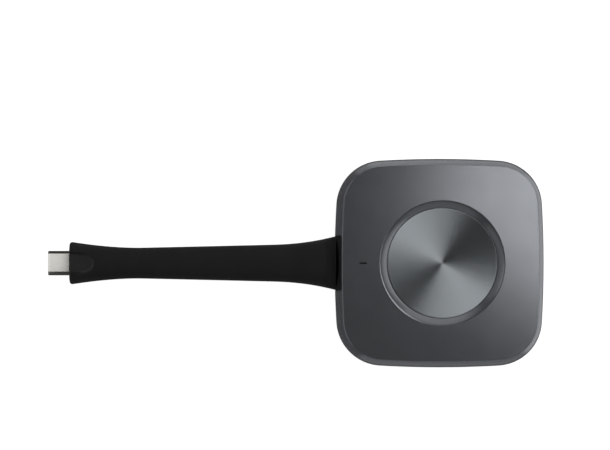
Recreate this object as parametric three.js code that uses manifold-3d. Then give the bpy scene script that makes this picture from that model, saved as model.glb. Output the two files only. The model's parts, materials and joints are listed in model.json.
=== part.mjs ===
// Wireless presentation dongle: a rounded square puck with a push button in its top plate,
// and a flat moulded tail that ends in a USB-C plug.
// Millimetres, +Z up. The origin is the middle of the puck's footprint, on the table.
// The tail leaves towards -X, and the model is symmetric about Y = 0 on the outside.

import * as THREE from 'three';
import { mergeVertices } from 'three/addons/utils/BufferGeometryUtils.js';
import Module from 'manifold-3d';

const wasm = await Module();
wasm.setup();

// ---------------------------------------------------------------- driving dimensions

const GAP = 0.3; // clearance between neighbouring pieces

// Puck outline: four corner arcs joined by slightly bowed sides
const PUCK_HALF = 34.75;
const CORNER_RADIUS = 15.25;
const SIDE_BOW = 0.55;
const CORNER_STEPS = 9;
const SIDE_STEPS = 4;

// Puck profile
const PUCK_HEIGHT = 16;
const WIDEST_Z = 7.5;
const PLATE_INSET = 2.1;
const PLATE_BEVEL = 0.35;
const UNDERSIDE_Z = 0.5;
const UNDERSIDE_INSET = 5;
const WALL = 1.5;
const PROFILE_STEPS = 6;

// Foot and bottom shell
const FOOT_HALF = 27;
const FOOT_CORNER_RADIUS = 9;
const FOOT_THICKNESS = 0.95;
const FLOOR_TOP = 2.2;
const RIM_BOTTOM = 5.6; // the rim that closes the seam from inside
const RIM_TOP = 8.9;
const RIM_INNER_INSET = 2.7;
const CASE_SCREW_AT = 23.5; // the screws' distance from the middle, along X and along Y
const CASE_BOSS_RADIUS = 3;
const CASE_BOSS_WALL = 1;
const SMALL_POST_RADIUS = 2;

// Button and its dish
const BUTTON_X = 0.5; // the button stands a little off the puck's middle, away from the tail
const DISC_RADIUS = 18.1;
const DISC_TOP = 14.9;
const DISC_THICKNESS = 0.9;
const DISH_OUTER_RADIUS = 20.5;
const DISH_DROP = 1.2;
const SMALL_CHAMFER = 0.15;
const LIP_BOTTOM = 13.3;
const LIP_WALL = 1.2;
const FLANGE_RADIUS = 19.4;
const FLANGE_THICKNESS = 0.75;
const POST_RADIUS = 1.6;
const POST_BOTTOM = 11;
const GUIDE_PIN_CIRCLE = 11;
const GUIDE_PIN_RADIUS = 1.2;
const GUIDE_PIN_BOTTOM = 8.2;
const GUIDE_TURN = Math.PI / 3; // the pins lie between the frame's screws
const PAD_INNER_RADIUS = 13.5;
const PAD_OUTER_RADIUS = 16;
const FRAME_BOTTOM = 9;
const FRAME_THICKNESS = 1.2;
const FRAME_RADIUS = 21.5;
const FRAME_SCREW_CIRCLE = 24.5;
const FRAME_EAR_RADIUS = 4;
const SWITCH_SIDE = 6.2;
const SWITCH_TOP = 9.6;
const SWITCH_WELL = 0.9; // room under the plunger
const PLUNGER_RADIUS = 1.7;
const PLUNGER_BOTTOM = 8.8;

// Indicator slit in the plate
const SLIT_X = -25.6;
const SLIT_LENGTH = 2.4;
const SLIT_WIDTH = 0.45;

// Circuit board
const BOARD_HALF = 27;
const BOARD_CORNER_CUT = 13;
const BOARD_BOTTOM = 5.6;
const BOARD_THICKNESS = 1.2;
const NOTCH_END_X = -19;
const NOTCH_HALF = 7.2;
const BOARD_SCREW_PLACES = [[24, 10], [24, -10], [-22, 15], [-22, -15]];
const CHIPS = {
  memory_chip_1: { x: -1, y: 16, width: 10, depth: 8, height: 1 },
  memory_chip_2: { x: 12.5, y: 16, width: 10, depth: 8, height: 1 },
  flash_chip: { x: 0, y: -17.5, width: 11, depth: 11, height: 1 },
  power_inductor: { x: 12.5, y: -16, width: 6, depth: 6, height: 1.5 },
  power_controller: { x: 11.5, y: -22.7, width: 4, depth: 4, height: 0.9 },
};
const RADIO_SHIELD = { x: 15.5, y: 0, width: 12, depth: 13, height: 1.5, skin: 0.4 };
const PROCESSOR = { x: 4, side: 14, height: 1.1 };
const SPREADER = { side: 36, thickness: 0.6 };
const ANTENNA = { y: 30.8, width: 24, thickness: 0.6 };
const LEAD_RADIUS = 0.55;
const LEAD_STEPS = 14;
const LEAD_ROUTE = [ // from the radio, over the board's edge and down beside the antenna
  [20.5, 8.5, 7.9], [19.8, 17, 7.9], [17, 24, 7.8], [14, 28.6, 6.9], [9, 29.3, 5.4], [5, 29.4, 5],
];
const LED = { x: -24, y: 9.6, width: 1.6, depth: 0.8, height: 0.6 };
const PIPE_RADIUS = 0.75;
const PIPE_Z = 13;
const PIPE_HEAD = { y: 1, width: 3, depth: 3.6 }; // the flat end right under the slit
const PIPE_STEPS = 12;

// Collar in the side wall, and the tail's root inside it
const COLLAR_HALF = 9;
const COLLAR_BOTTOM = 2.9;
const COLLAR_TOP = 15.2;
const COLLAR_BACK_X = -31.8;
const ROOT_HALF_WIDTH = 5;
const ROOT_HALF_HEIGHT = 2.5;
const INNER_FLANGE_BACK_X = -29.4;
const INNER_FLANGE_HALF_WIDTH = 7;
const INNER_FLANGE_HALF_HEIGHT = 4;

// Tail: its centre line is a list of heights at even steps from the puck to the plug's boot
const TAIL_LENGTH = 89.2;
const TAIL_HEIGHTS = [
  7.4, 7.35, 7.1, 6.5, 5.7, 4.8, 3.95, 3.25, 2.8, 2.55, 2.45, 2.45, 2.5, 2.68, 2.95, 3.3,
];
const TAIL_SIDES = 16;
const TAIL_STEPS = 26;
const TAIL_WIDTH = 13.33; // where the straight taper would meet the puck
const TAIL_TAPER = 0.0445; // loss of width per millimetre
const TAIL_THICKNESS = 4.6;
const ROOT_FLARE = { length: 21, width: 4.55, thickness: 2.9, power: 2.2 };
const ROOT_FILLET = { length: 4, height: 3, power: 2.2 }; // its top curves up towards the collar
const BOOT_FLARE = { length: 24.35, width: 5.2, thickness: 1.9, power: 1.75 };
const TAIL_SQUARENESS = 2.6; // 2 is an ellipse, larger is flatter with tighter edges
const BOOT_EDGE_RADIUS = 1;

// Cable inside the tail
const CABLE_RADIUS = 1.3;
const CABLE_SIDES = 8;
const CABLE_STEPS = 32;
const CABLE_INSIDE_Z = 7.8;

// The cable's socket, header and clamp inside the puck
const SOCKET_X = -19.9;
const SOCKET_LENGTH = 3.2;
const SOCKET_WIDTH = 9;
const CLAMP_X = -24.5;
const CLAMP_POST_Y = 4.6;
const CLAMP_BAR_BOTTOM = 9.1;
const CLAMP_BAR_TOP = 10.3;
const CLAMP_BAR_WIDTH = 4;

// USB-C plug, to its standard size
const PLUG_WIDTH = 8.25;
const PLUG_THICKNESS = 2.4;
const PLUG_WALL = 0.3;
const PLUG_EXPOSED = 7.25;
const PLUG_BURIED = 6;
const PLUG_GAP = 0.12; // its inner pieces lie closer together than the others
const MOUTH = { depth: 6.2, halfWidth: 3.3, halfHeight: 0.4 };
const LATCH = { front: 2, back: 5.9, halfWidth: 3.1, halfThickness: 0.15, arm: 0.5, bridge: 0.8 };
const PLUG_BOARD = { length: 8, halfWidth: 3, thickness: 0.8 };

// Screws
const CASE_SCREW = { headRadius: 2.2, headHeight: 1.3, shankRadius: 1.1, length: 8 };
const SMALL_SCREW = { headRadius: 1.8, headHeight: 0.9, shankRadius: 0.8, length: 4 };
const CLAMP_SCREW = { ...SMALL_SCREW, length: 5.5 };

// ---------------------------------------------------------------- levels worked out from them

const PLATE_UNDERSIDE = PUCK_HEIGHT - WALL;
const SEAM_LOW = WIDEST_Z - GAP / 2;
const SEAM_HIGH = WIDEST_Z + GAP / 2;
const FOOT_RECESS_TOP = FOOT_THICKNESS + GAP;
const BOARD_TOP = BOARD_BOTTOM + BOARD_THICKNESS;
const ON_BOARD = BOARD_TOP + GAP;
const FRAME_TOP = FRAME_BOTTOM + FRAME_THICKNESS;
const BORE_RADIUS = DISC_RADIUS + GAP;
const DISC_BOTTOM = DISC_TOP - DISC_THICKNESS;
const FLANGE_TOP = LIP_BOTTOM - GAP;
const FLANGE_BOTTOM = FLANGE_TOP - FLANGE_THICKNESS;
const CASE_SCREW_SEAT = FOOT_RECESS_TOP + GAP + CASE_SCREW.headHeight;
const SMALL_HOLE_RADIUS = SMALL_SCREW.shankRadius + GAP;
const CASE_HOLE_RADIUS = CASE_SCREW.shankRadius + GAP;
const TAIL_START_X = -PUCK_HALF;
const BOOT_FACE_X = TAIL_START_X - TAIL_LENGTH;
const PLUG_TIP_X = BOOT_FACE_X - PLUG_EXPOSED;
const PLUG_REAR_X = BOOT_FACE_X + PLUG_BURIED;
const ROOT_Z = TAIL_HEIGHTS[0];
const PLUG_Z = TAIL_HEIGHTS[TAIL_HEIGHTS.length - 1];
const CABLE_END_X = PLUG_REAR_X + 2 * GAP + PLUG_BOARD.length;
const INSULATOR_WIDTH = PLUG_WIDTH - 2 * (PLUG_WALL + PLUG_GAP);
const INSULATOR_THICKNESS = PLUG_THICKNESS - 2 * (PLUG_WALL + PLUG_GAP);
const OVERRUN = 1; // how far a cutting tool runs past the face that it cuts
const BITE = 0.5; // how far two joined shapes run into each other

// ---------------------------------------------------------------- repeated places

const ROUND_SIDES = 64; // facets of the largest round shapes
const CORNERS = [[1, 1], [-1, 1], [-1, -1], [1, -1]];
const SIDES = [1, -1];
const THIRDS = [0, 1, 2].map((turn) => (turn * 2 * Math.PI) / 3);
const onCircle = (radius, angle) => [radius * Math.cos(angle), radius * Math.sin(angle)];
const roundButton = ([x, y]) => [BUTTON_X + x, y];
const CASE_SCREW_PLACES = CORNERS.map(([sx, sy]) => [sx * CASE_SCREW_AT, sy * CASE_SCREW_AT]);
const CLAMP_SCREW_PLACES = SIDES.map((side) => [CLAMP_X, side * CLAMP_POST_Y]);
const FRAME_SCREW_PLACES = THIRDS.map((angle) => roundButton(onCircle(FRAME_SCREW_CIRCLE, angle)));
const GUIDE_PLACES = THIRDS.map((angle) => roundButton(onCircle(GUIDE_PIN_CIRCLE, angle + GUIDE_TURN)));
const SCREW_HOLE_SIDES = 10;

// ---------------------------------------------------------------- finishes

const FINISHES = {
  greyMetal: { color: 0x7c8084, roughness: 0.38, metalness: 0.9 },
  spunMetal: { color: 0x93999c, roughness: 0.3, metalness: 1 },
  steel: { color: 0xc8c5bd, roughness: 0.25, metalness: 1 },
  screwSteel: { color: 0x8f9093, roughness: 0.4, metalness: 1 },
  blackPlastic: { color: 0x1b1b1c, roughness: 0.6, metalness: 0 },
  blackRubber: { color: 0x1e1e1e, roughness: 0.75, metalness: 0 },
  silicone: { color: 0x8e9296, roughness: 0.7, metalness: 0 },
  boardGreen: { color: 0x1d4a33, roughness: 0.5, metalness: 0 },
  chipBlack: { color: 0x202225, roughness: 0.55, metalness: 0 },
  tin: { color: 0xb4b6b8, roughness: 0.35, metalness: 1 },
  aluminium: { color: 0xb9bcc0, roughness: 0.45, metalness: 1 },
  clearPlastic: { color: 0xdfe4e6, roughness: 0.2, metalness: 0 },
  cream: { color: 0xd8d2c0, roughness: 0.6, metalness: 0 },
  greyPad: { color: 0x6f7f93, roughness: 0.85, metalness: 0 },
};

// ---------------------------------------------------------------- solids

/** A three.js geometry as a manifold-3d solid. */
function solid(geometry) {
  const bare = geometry.clone();
  bare.deleteAttribute('normal');
  bare.deleteAttribute('uv');
  const merged = mergeVertices(bare, 1e-5);
  return new wasm.Manifold(new wasm.Mesh({
    numProp: 3,
    vertProperties: new Float32Array(merged.attributes.position.array),
    triVerts: new Uint32Array(merged.index.array),
  }));
}

/** A manifold-3d solid as a three.js geometry. */
function geometryOf(body) {
  const mesh = body.getMesh();
  const geometry = new THREE.BufferGeometry();
  geometry.setAttribute('position', new THREE.BufferAttribute(mesh.vertProperties, 3));
  geometry.setIndex(new THREE.BufferAttribute(mesh.triVerts, 1));
  geometry.computeVertexNormals();
  return geometry;
}

const union = (...bodies) => bodies.reduce((whole, body) => whole.add(body));
const cut = (whole, ...tools) => tools.reduce((left, tool) => left.subtract(tool), whole);

/** A box between two opposite corners. */
function box([x0, y0, z0], [x1, y1, z1]) {
  const geometry = new THREE.BoxGeometry(x1 - x0, y1 - y0, z1 - z0);
  geometry.translate((x0 + x1) / 2, (y0 + y1) / 2, (z0 + z1) / 2);
  return solid(geometry);
}

/** A box centred on x and y that stands from z0 to z1. */
function block(x, y, width, depth, z0, z1) {
  return box([x - width / 2, y - depth / 2, z0], [x + width / 2, y + depth / 2, z1]);
}

/** An upright cylinder that stands from z0 to z1. */
function post(x, y, radius, z0, z1, sides = 16) {
  const geometry = new THREE.CylinderGeometry(radius, radius, z1 - z0, sides);
  geometry.rotateX(Math.PI / 2);
  geometry.translate(x, y, (z0 + z1) / 2);
  return solid(geometry);
}

/** The same upright cylinder at each of several places. */
const posts = (places, radius, z0, z1, sides) => places.map(([x, y]) => post(x, y, radius, z0, z1, sides));

/** A solid of revolution about the button's axis, from a closed run of [radius, height] points. */
function turned(profile, sides) {
  const points = profile.map(([radius, height]) => new THREE.Vector2(radius, height));
  const geometry = new THREE.LatheGeometry(points, sides);
  geometry.rotateX(Math.PI / 2);
  geometry.translate(BUTTON_X, 0, 0);
  return solid(geometry);
}

/** A flat shape raised from z0 to z1. */
function raised(shape, z0, z1, curveSegments = 6) {
  const geometry = new THREE.ExtrudeGeometry(shape, { depth: z1 - z0, bevelEnabled: false, curveSegments });
  geometry.translate(0, 0, z0);
  return solid(geometry);
}

/** A tube of one radius along a curve. */
function tube(curve, radius, sides, steps) {
  const section = new THREE.Shape();
  for (let side = 0; side < sides; side += 1) {
    const angle = (side / sides) * 2 * Math.PI;
    const point = [radius * Math.cos(angle), radius * Math.sin(angle)];
    if (side === 0) section.moveTo(...point);
    else section.lineTo(...point);
  }
  return solid(new THREE.ExtrudeGeometry(section, { steps, extrudePath: curve }));
}

/** A solid through a run of rings with equal point counts, each wound right-handed about the run. */
function loft(rings) {
  const count = rings[0].length;
  const vertices = rings.flat();
  const faces = [];
  for (let level = 0; level < rings.length - 1; level += 1) {
    for (let side = 0; side < count; side += 1) {
      const next = (side + 1) % count;
      const [a, b] = [level * count + side, level * count + next];
      faces.push(a, b, b + count, a, b + count, a + count);
    }
  }
  const caps = [rings[0], rings[rings.length - 1]];
  caps.forEach((cap, end) => {
    const middle = cap.reduce((sum, point) => sum.add(point), new THREE.Vector3()).divideScalar(count);
    const first = end === 0 ? 0 : (rings.length - 1) * count;
    vertices.push(middle);
    for (let side = 0; side < count; side += 1) {
      const [a, b] = [first + side, first + (side + 1) % count];
      if (end === 0) faces.push(vertices.length - 1, b, a);
      else faces.push(vertices.length - 1, a, b);
    }
  });
  const geometry = new THREE.BufferGeometry().setFromPoints(vertices);
  geometry.setIndex(faces);
  return solid(geometry);
}

// ---------------------------------------------------------------- puck outline and profile

/** The puck's outline at a height, drawn in by an inset. */
function outlineRing(inset, z) {
  const cornerAt = PUCK_HALF - SIDE_BOW - CORNER_RADIUS;
  const reach = (cornerAt ** 2 - SIDE_BOW ** 2) / (2 * SIDE_BOW); // side arc's centre to the corner's line
  const sideRadius = reach + PUCK_HALF - cornerAt;
  const tangent = Math.atan2(cornerAt, reach);
  const points = [];
  const arc = (centreX, centreY, radius, from, to, steps, turn) => {
    for (let step = 0; step < steps; step += 1) {
      const angle = from + ((to - from) * step) / steps;
      const [dx, dy] = onCircle(radius, angle);
      const point = new THREE.Vector3(centreX + dx, centreY + dy, z);
      points.push(point.applyAxisAngle(new THREE.Vector3(0, 0, 1), turn));
    }
  };
  for (let quarter = 0; quarter < 4; quarter += 1) {
    const turn = (quarter * Math.PI) / 2;
    arc(PUCK_HALF - sideRadius, 0, sideRadius - inset, -tangent, tangent, SIDE_STEPS, turn);
    arc(cornerAt, cornerAt, CORNER_RADIUS - inset, tangent, Math.PI / 2 - tangent, CORNER_STEPS, turn);
  }
  return points;
}

/** A quarter of an ellipse: how far the side has drawn in, at a share of the way to its flat. */
const shoulder = (share) => 1 - Math.sqrt(1 - share ** 2);

/** The puck above its widest line, grown or shrunk by an inset, from z0 to its top. */
function upperBody(inset, z0, top) {
  const shoulderTop = PUCK_HEIGHT - PLATE_BEVEL;
  const rings = [];
  for (let step = 0; step <= PROFILE_STEPS; step += 1) {
    const share = Math.sin((step / PROFILE_STEPS) * (Math.PI / 2));
    const z = z0 + (Math.min(shoulderTop, top) - z0) * share;
    const sideShare = (z - WIDEST_Z) / (shoulderTop - WIDEST_Z);
    rings.push(outlineRing(inset + PLATE_INSET * shoulder(sideShare), z));
  }
  if (top > shoulderTop) rings.push(outlineRing(inset + PLATE_INSET + PLATE_BEVEL, top));
  return loft(rings);
}

/** The puck below its widest line, grown or shrunk by an inset, from z0 up to z1. */
function lowerBody(inset, z0, z1) {
  const rings = [];
  for (let step = 0; step <= PROFILE_STEPS; step += 1) {
    const share = Math.cos((step / PROFILE_STEPS) * (Math.PI / 2));
    const z = z1 + (z0 - z1) * share;
    const sideShare = (WIDEST_Z - z) / (WIDEST_Z - UNDERSIDE_Z);
    rings.push(outlineRing(inset + UNDERSIDE_INSET * shoulder(sideShare), z));
  }
  return loft(rings);
}

/** The gap in the side wall that the collar fills. */
function collarOpening() {
  return box(
    [-PUCK_HALF - OVERRUN, -COLLAR_HALF - GAP, COLLAR_BOTTOM - GAP],
    [COLLAR_BACK_X + GAP, COLLAR_HALF + GAP, COLLAR_TOP + GAP],
  );
}

// ---------------------------------------------------------------- screws

/** A cross-headed screw whose head's seat is at a height, with the shank running up (1) or down (-1). */
function screw(x, y, seat, direction, size) {
  const between = (a, b) => [Math.min(a, b), Math.max(a, b)];
  const headEnd = seat - direction * size.headHeight;
  const head = post(x, y, size.headRadius, ...between(headEnd, seat));
  const overlap = seat - direction * (size.headHeight / 4);
  const shank = post(x, y, size.shankRadius, ...between(overlap, seat + direction * size.length), 10);
  const slotDepths = between(headEnd - direction * OVERRUN, headEnd + direction * (size.headHeight / 2));
  const slotLength = size.headRadius * 1.2;
  const slotWidth = size.headRadius * 0.3;
  const cross = union(
    block(x, y, slotLength, slotWidth, ...slotDepths),
    block(x, y, slotWidth, slotLength, ...slotDepths),
  );
  return cut(union(head, shank), cross);
}

// ---------------------------------------------------------------- housing

/** A square with round corners, about the origin. */
function roundedSquare(half, radius) {
  const shape = new THREE.Shape();
  const inner = half - radius;
  CORNERS.forEach(([sx, sy], quarter) => {
    const start = (quarter * Math.PI) / 2;
    shape.absarc(sx * inner, sy * inner, radius, start, start + Math.PI / 2);
  });
  return shape;
}

function footPad() {
  return raised(roundedSquare(FOOT_HALF, FOOT_CORNER_RADIUS), 0, FOOT_THICKNESS);
}

/** The rim that stands up from the bottom shell and closes the seam from inside. */
function seamRim() {
  const attached = WALL - GAP; // runs into the tray's wall
  const free = WALL + 1.3 * GAP; // stands clear of the cover's wall
  const outside = loft([
    outlineRing(attached, RIM_BOTTOM), outlineRing(attached, SEAM_LOW - SMALL_CHAMFER),
    outlineRing(free, SEAM_LOW), outlineRing(free, RIM_TOP),
  ]);
  const inside = loft([
    outlineRing(RIM_INNER_INSET, RIM_BOTTOM - OVERRUN), outlineRing(RIM_INNER_INSET, RIM_TOP + OVERRUN),
  ]);
  return cut(outside, inside);
}

function bottomShell() {
  const tray = cut(lowerBody(0, UNDERSIDE_Z, SEAM_LOW), lowerBody(WALL, FLOOR_TOP, WIDEST_Z));
  const footRecess = raised(
    roundedSquare(FOOT_HALF + GAP, FOOT_CORNER_RADIUS + GAP), UNDERSIDE_Z - OVERRUN, FOOT_RECESS_TOP,
  );
  const postFoot = FLOOR_TOP - BITE;
  const wellRadius = CASE_SCREW.headRadius + GAP;
  const clampHoleBottom = CLAMP_BAR_TOP - CLAMP_SCREW.length - GAP;
  const standing = [
    ...posts(CASE_SCREW_PLACES, wellRadius + CASE_BOSS_WALL, postFoot, SEAM_LOW - GAP),
    ...posts(BOARD_SCREW_PLACES, SMALL_POST_RADIUS, postFoot, BOARD_BOTTOM - GAP),
    ...posts(CLAMP_SCREW_PLACES, SMALL_POST_RADIUS, postFoot, CLAMP_BAR_BOTTOM - GAP),
  ];
  const bored = [
    ...posts(CASE_SCREW_PLACES, wellRadius, FOOT_RECESS_TOP - BITE, CASE_SCREW_SEAT + GAP),
    ...posts(CASE_SCREW_PLACES, CASE_HOLE_RADIUS, FOOT_RECESS_TOP, SEAM_LOW, 12),
    ...posts(BOARD_SCREW_PLACES, SMALL_HOLE_RADIUS, FLOOR_TOP, BOARD_BOTTOM, SCREW_HOLE_SIDES),
    ...posts(CLAMP_SCREW_PLACES, SMALL_HOLE_RADIUS, clampHoleBottom, CLAMP_BAR_BOTTOM, SCREW_HOLE_SIDES),
  ];
  return cut(union(tray, seamRim(), ...standing), footRecess, collarOpening(), ...bored);
}

/** The stepped hole in the plate: a sloping dish above a straight bore for the button. */
function dishAndBore() {
  const dishBottom = PUCK_HEIGHT - DISH_DROP;
  const above = PUCK_HEIGHT + OVERRUN;
  return turned([
    [0, LIP_BOTTOM - OVERRUN], [BORE_RADIUS, LIP_BOTTOM - OVERRUN], [BORE_RADIUS, dishBottom],
    [DISH_OUTER_RADIUS, PUCK_HEIGHT], [DISH_OUTER_RADIUS, above], [0, above],
  ], ROUND_SIDES);
}

function topCover() {
  const shell = cut(upperBody(0, SEAM_HIGH, PUCK_HEIGHT), upperBody(WALL, WIDEST_Z, PLATE_UNDERSIDE));
  const root = PLATE_UNDERSIDE + BITE;
  const lip = post(BUTTON_X, 0, BORE_RADIUS + LIP_WALL, LIP_BOTTOM, root, ROUND_SIDES);
  const caseHoleTop = CASE_SCREW_SEAT + CASE_SCREW.length + GAP;
  const frameHoleTop = FRAME_BOTTOM + SMALL_SCREW.length;
  const hanging = [
    ...posts(CASE_SCREW_PLACES, CASE_BOSS_RADIUS, SEAM_LOW, root),
    ...posts(FRAME_SCREW_PLACES, SMALL_POST_RADIUS, FRAME_TOP + GAP, root),
  ];
  const bored = [
    ...posts(CASE_SCREW_PLACES, CASE_HOLE_RADIUS, SEAM_LOW - OVERRUN, caseHoleTop, 12),
    ...posts(FRAME_SCREW_PLACES, SMALL_HOLE_RADIUS, FRAME_TOP, frameHoleTop, SCREW_HOLE_SIDES),
  ];
  const slit = block(SLIT_X, 0, SLIT_LENGTH, SLIT_WIDTH, PLATE_UNDERSIDE - OVERRUN, PUCK_HEIGHT + OVERRUN);
  return cut(union(shell, lip, ...hanging), dishAndBore(), slit, collarOpening(), ...bored);
}

// ---------------------------------------------------------------- button

function buttonCap() {
  return turned([
    [0, DISC_BOTTOM], [DISC_RADIUS, DISC_BOTTOM], [DISC_RADIUS, DISC_TOP - SMALL_CHAMFER],
    [DISC_RADIUS - SMALL_CHAMFER, DISC_TOP], [0, DISC_TOP],
  ], ROUND_SIDES);
}

function buttonCarrier() {
  const seatRadius = DISC_RADIUS - GAP;
  const body = turned([
    [0, POST_BOTTOM], [POST_RADIUS, POST_BOTTOM], [POST_RADIUS, FLANGE_BOTTOM],
    [FLANGE_RADIUS, FLANGE_BOTTOM], [FLANGE_RADIUS, FLANGE_TOP],
    [seatRadius, FLANGE_TOP], [seatRadius, DISC_BOTTOM - GAP], [0, DISC_BOTTOM - GAP],
  ], 48);
  const pins = posts(GUIDE_PLACES, GUIDE_PIN_RADIUS, GUIDE_PIN_BOTTOM, FLANGE_BOTTOM + BITE, 12);
  return union(body, ...pins);
}

function returnPad() {
  const [low, high] = [FRAME_TOP + GAP, FLANGE_BOTTOM - GAP];
  return turned([
    [PAD_INNER_RADIUS, low], [PAD_OUTER_RADIUS, low], [PAD_OUTER_RADIUS, high], [PAD_INNER_RADIUS, high],
    [PAD_INNER_RADIUS, low],
  ], 36);
}

function buttonFrame() {
  const through = [FRAME_BOTTOM - OVERRUN, FRAME_TOP + OVERRUN];
  const ears = posts(FRAME_SCREW_PLACES, FRAME_EAR_RADIUS, FRAME_BOTTOM, FRAME_TOP);
  const plate = union(post(BUTTON_X, 0, FRAME_RADIUS, FRAME_BOTTOM, FRAME_TOP, 48), ...ears);
  const switchHole = post(BUTTON_X, 0, SWITCH_SIDE / Math.SQRT2 + GAP, ...through, 24);
  const guideHoles = posts(GUIDE_PLACES, GUIDE_PIN_RADIUS + GAP, ...through, 12);
  const screwHoles = posts(FRAME_SCREW_PLACES, SMALL_HOLE_RADIUS, ...through, SCREW_HOLE_SIDES);
  return cut(plate, switchHole, ...guideHoles, ...screwHoles);
}

function switchBody() {
  const well = post(BUTTON_X, 0, PLUNGER_RADIUS + GAP, PLUNGER_BOTTOM - SWITCH_WELL, SWITCH_TOP + OVERRUN);
  return cut(block(BUTTON_X, 0, SWITCH_SIDE, SWITCH_SIDE, ON_BOARD, SWITCH_TOP), well);
}

function switchPlunger() {
  return post(BUTTON_X, 0, PLUNGER_RADIUS, PLUNGER_BOTTOM, POST_BOTTOM - GAP);
}

// ---------------------------------------------------------------- electronics

function mainBoard() {
  const outline = new THREE.Shape();
  const [half, flat] = [BOARD_HALF, BOARD_HALF - BOARD_CORNER_CUT];
  const corners = [
    [half, -flat], [half, flat], [flat, half], [-flat, half], [-half, flat],
    [-half, NOTCH_HALF], [NOTCH_END_X, NOTCH_HALF], [NOTCH_END_X, -NOTCH_HALF], [-half, -NOTCH_HALF],
    [-half, -flat], [-flat, -half], [flat, -half],
  ];
  corners.forEach(([x, y], index) => (index === 0 ? outline.moveTo(x, y) : outline.lineTo(x, y)));
  const through = [BOARD_BOTTOM - OVERRUN, BOARD_TOP + OVERRUN];
  const holes = posts(BOARD_SCREW_PLACES, SMALL_HOLE_RADIUS, ...through, SCREW_HOLE_SIDES);
  return cut(raised(outline, BOARD_BOTTOM, BOARD_TOP), ...holes);
}

/** A plain component soldered on the board's top. */
const chip = ({ x, y, width, depth, height }) => block(x, y, width, depth, ON_BOARD, ON_BOARD + height);

/** The shield can over the radio: a thin tray turned upside down. */
function radioShield() {
  const { x, y, width, depth, height, skin } = RADIO_SHIELD;
  const inside = block(x, y, width - 2 * skin, depth - 2 * skin, BOARD_TOP, ON_BOARD + height - skin);
  return cut(chip(RADIO_SHIELD), inside);
}

function processor() {
  const top = BOARD_BOTTOM - GAP;
  return block(PROCESSOR.x, 0, PROCESSOR.side, PROCESSOR.side, top - PROCESSOR.height, top);
}

function heatSpreader() {
  const bottom = FLOOR_TOP + GAP;
  return block(0, 0, SPREADER.side, SPREADER.side, bottom, bottom + SPREADER.thickness);
}

/** The soft pad that carries heat from the processor to the spreader. */
function thermalPad() {
  const bottom = FLOOR_TOP + 2 * GAP + SPREADER.thickness;
  const top = BOARD_BOTTOM - 2 * GAP - PROCESSOR.height;
  return block(PROCESSOR.x, 0, PROCESSOR.side - 1, PROCESSOR.side - 1, bottom, top);
}

function antenna(side) {
  return block(0, side * ANTENNA.y, ANTENNA.width, ANTENNA.thickness, FLOOR_TOP + GAP, SEAM_LOW - GAP);
}

/** The thin lead from the radio to the antenna on one side. */
function antennaLead(side) {
  const points = LEAD_ROUTE.map(([x, y, z]) => new THREE.Vector3(x, side * y, z));
  return tube(new THREE.CatmullRomCurve3(points), LEAD_RADIUS, CABLE_SIDES, LEAD_STEPS);
}

/** The clear pipe that carries the indicator's light from the board to the slit. */
function lightPipe() {
  const ledTop = ON_BOARD + LED.height;
  const route = new THREE.CatmullRomCurve3([
    new THREE.Vector3(LED.x, LED.y, ledTop + GAP),
    new THREE.Vector3(LED.x, LED.y, PIPE_Z - 2),
    new THREE.Vector3(LED.x - 0.3, LED.y - 2, PIPE_Z),
    new THREE.Vector3(SLIT_X, PIPE_HEAD.y + 1.4, PIPE_Z),
  ], false, 'centripetal');
  const arm = tube(route, PIPE_RADIUS, CABLE_SIDES, PIPE_STEPS);
  const head = block(
    SLIT_X, PIPE_HEAD.y, PIPE_HEAD.width, PIPE_HEAD.depth, PIPE_Z - PIPE_RADIUS, PLATE_UNDERSIDE - GAP,
  );
  return union(arm, head);
}

// ---------------------------------------------------------------- tail

const tailRoute = new THREE.CatmullRomCurve3(TAIL_HEIGHTS.map((z, index) => {
  const along = (index / (TAIL_HEIGHTS.length - 1)) * TAIL_LENGTH;
  return new THREE.Vector3(TAIL_START_X - along, 0, z);
}));

/** How much of a flare is left, from 1 at its wide end to 0 where it has faded out. */
const fade = (distance, flare) => Math.max(0, 1 - distance / flare.length) ** flare.power;

/** The tail's width and thickness at a distance from the puck. */
function tailSize(along) {
  const root = fade(along, ROOT_FLARE);
  const boot = fade(TAIL_LENGTH - along, BOOT_FLARE);
  return {
    width: TAIL_WIDTH - TAIL_TAPER * along + ROOT_FLARE.width * root + BOOT_FLARE.width * boot,
    thickness: TAIL_THICKNESS + ROOT_FLARE.thickness * root + BOOT_FLARE.thickness * boot,
  };
}

/** One cross-section of the tail, drawn in by an inset. */
function tailRing(along, inset = 0) {
  const { width, thickness } = tailSize(along);
  const centre = tailRoute.getPoint(along / TAIL_LENGTH);
  const fillet = ROOT_FILLET.height * fade(along, ROOT_FILLET);
  const soften = (value) => Math.sign(value) * Math.abs(value) ** (2 / TAIL_SQUARENESS);
  return Array.from({ length: TAIL_SIDES }, (_, side) => {
    const angle = ((side + 0.5) / TAIL_SIDES) * 2 * Math.PI;
    const y = (width / 2 - inset) * soften(Math.sin(angle));
    const upright = soften(Math.cos(angle));
    const z = centre.z + (thickness / 2 - inset) * upright + fillet * Math.max(0, upright);
    return new THREE.Vector3(TAIL_START_X - along, y, z);
  });
}

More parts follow.
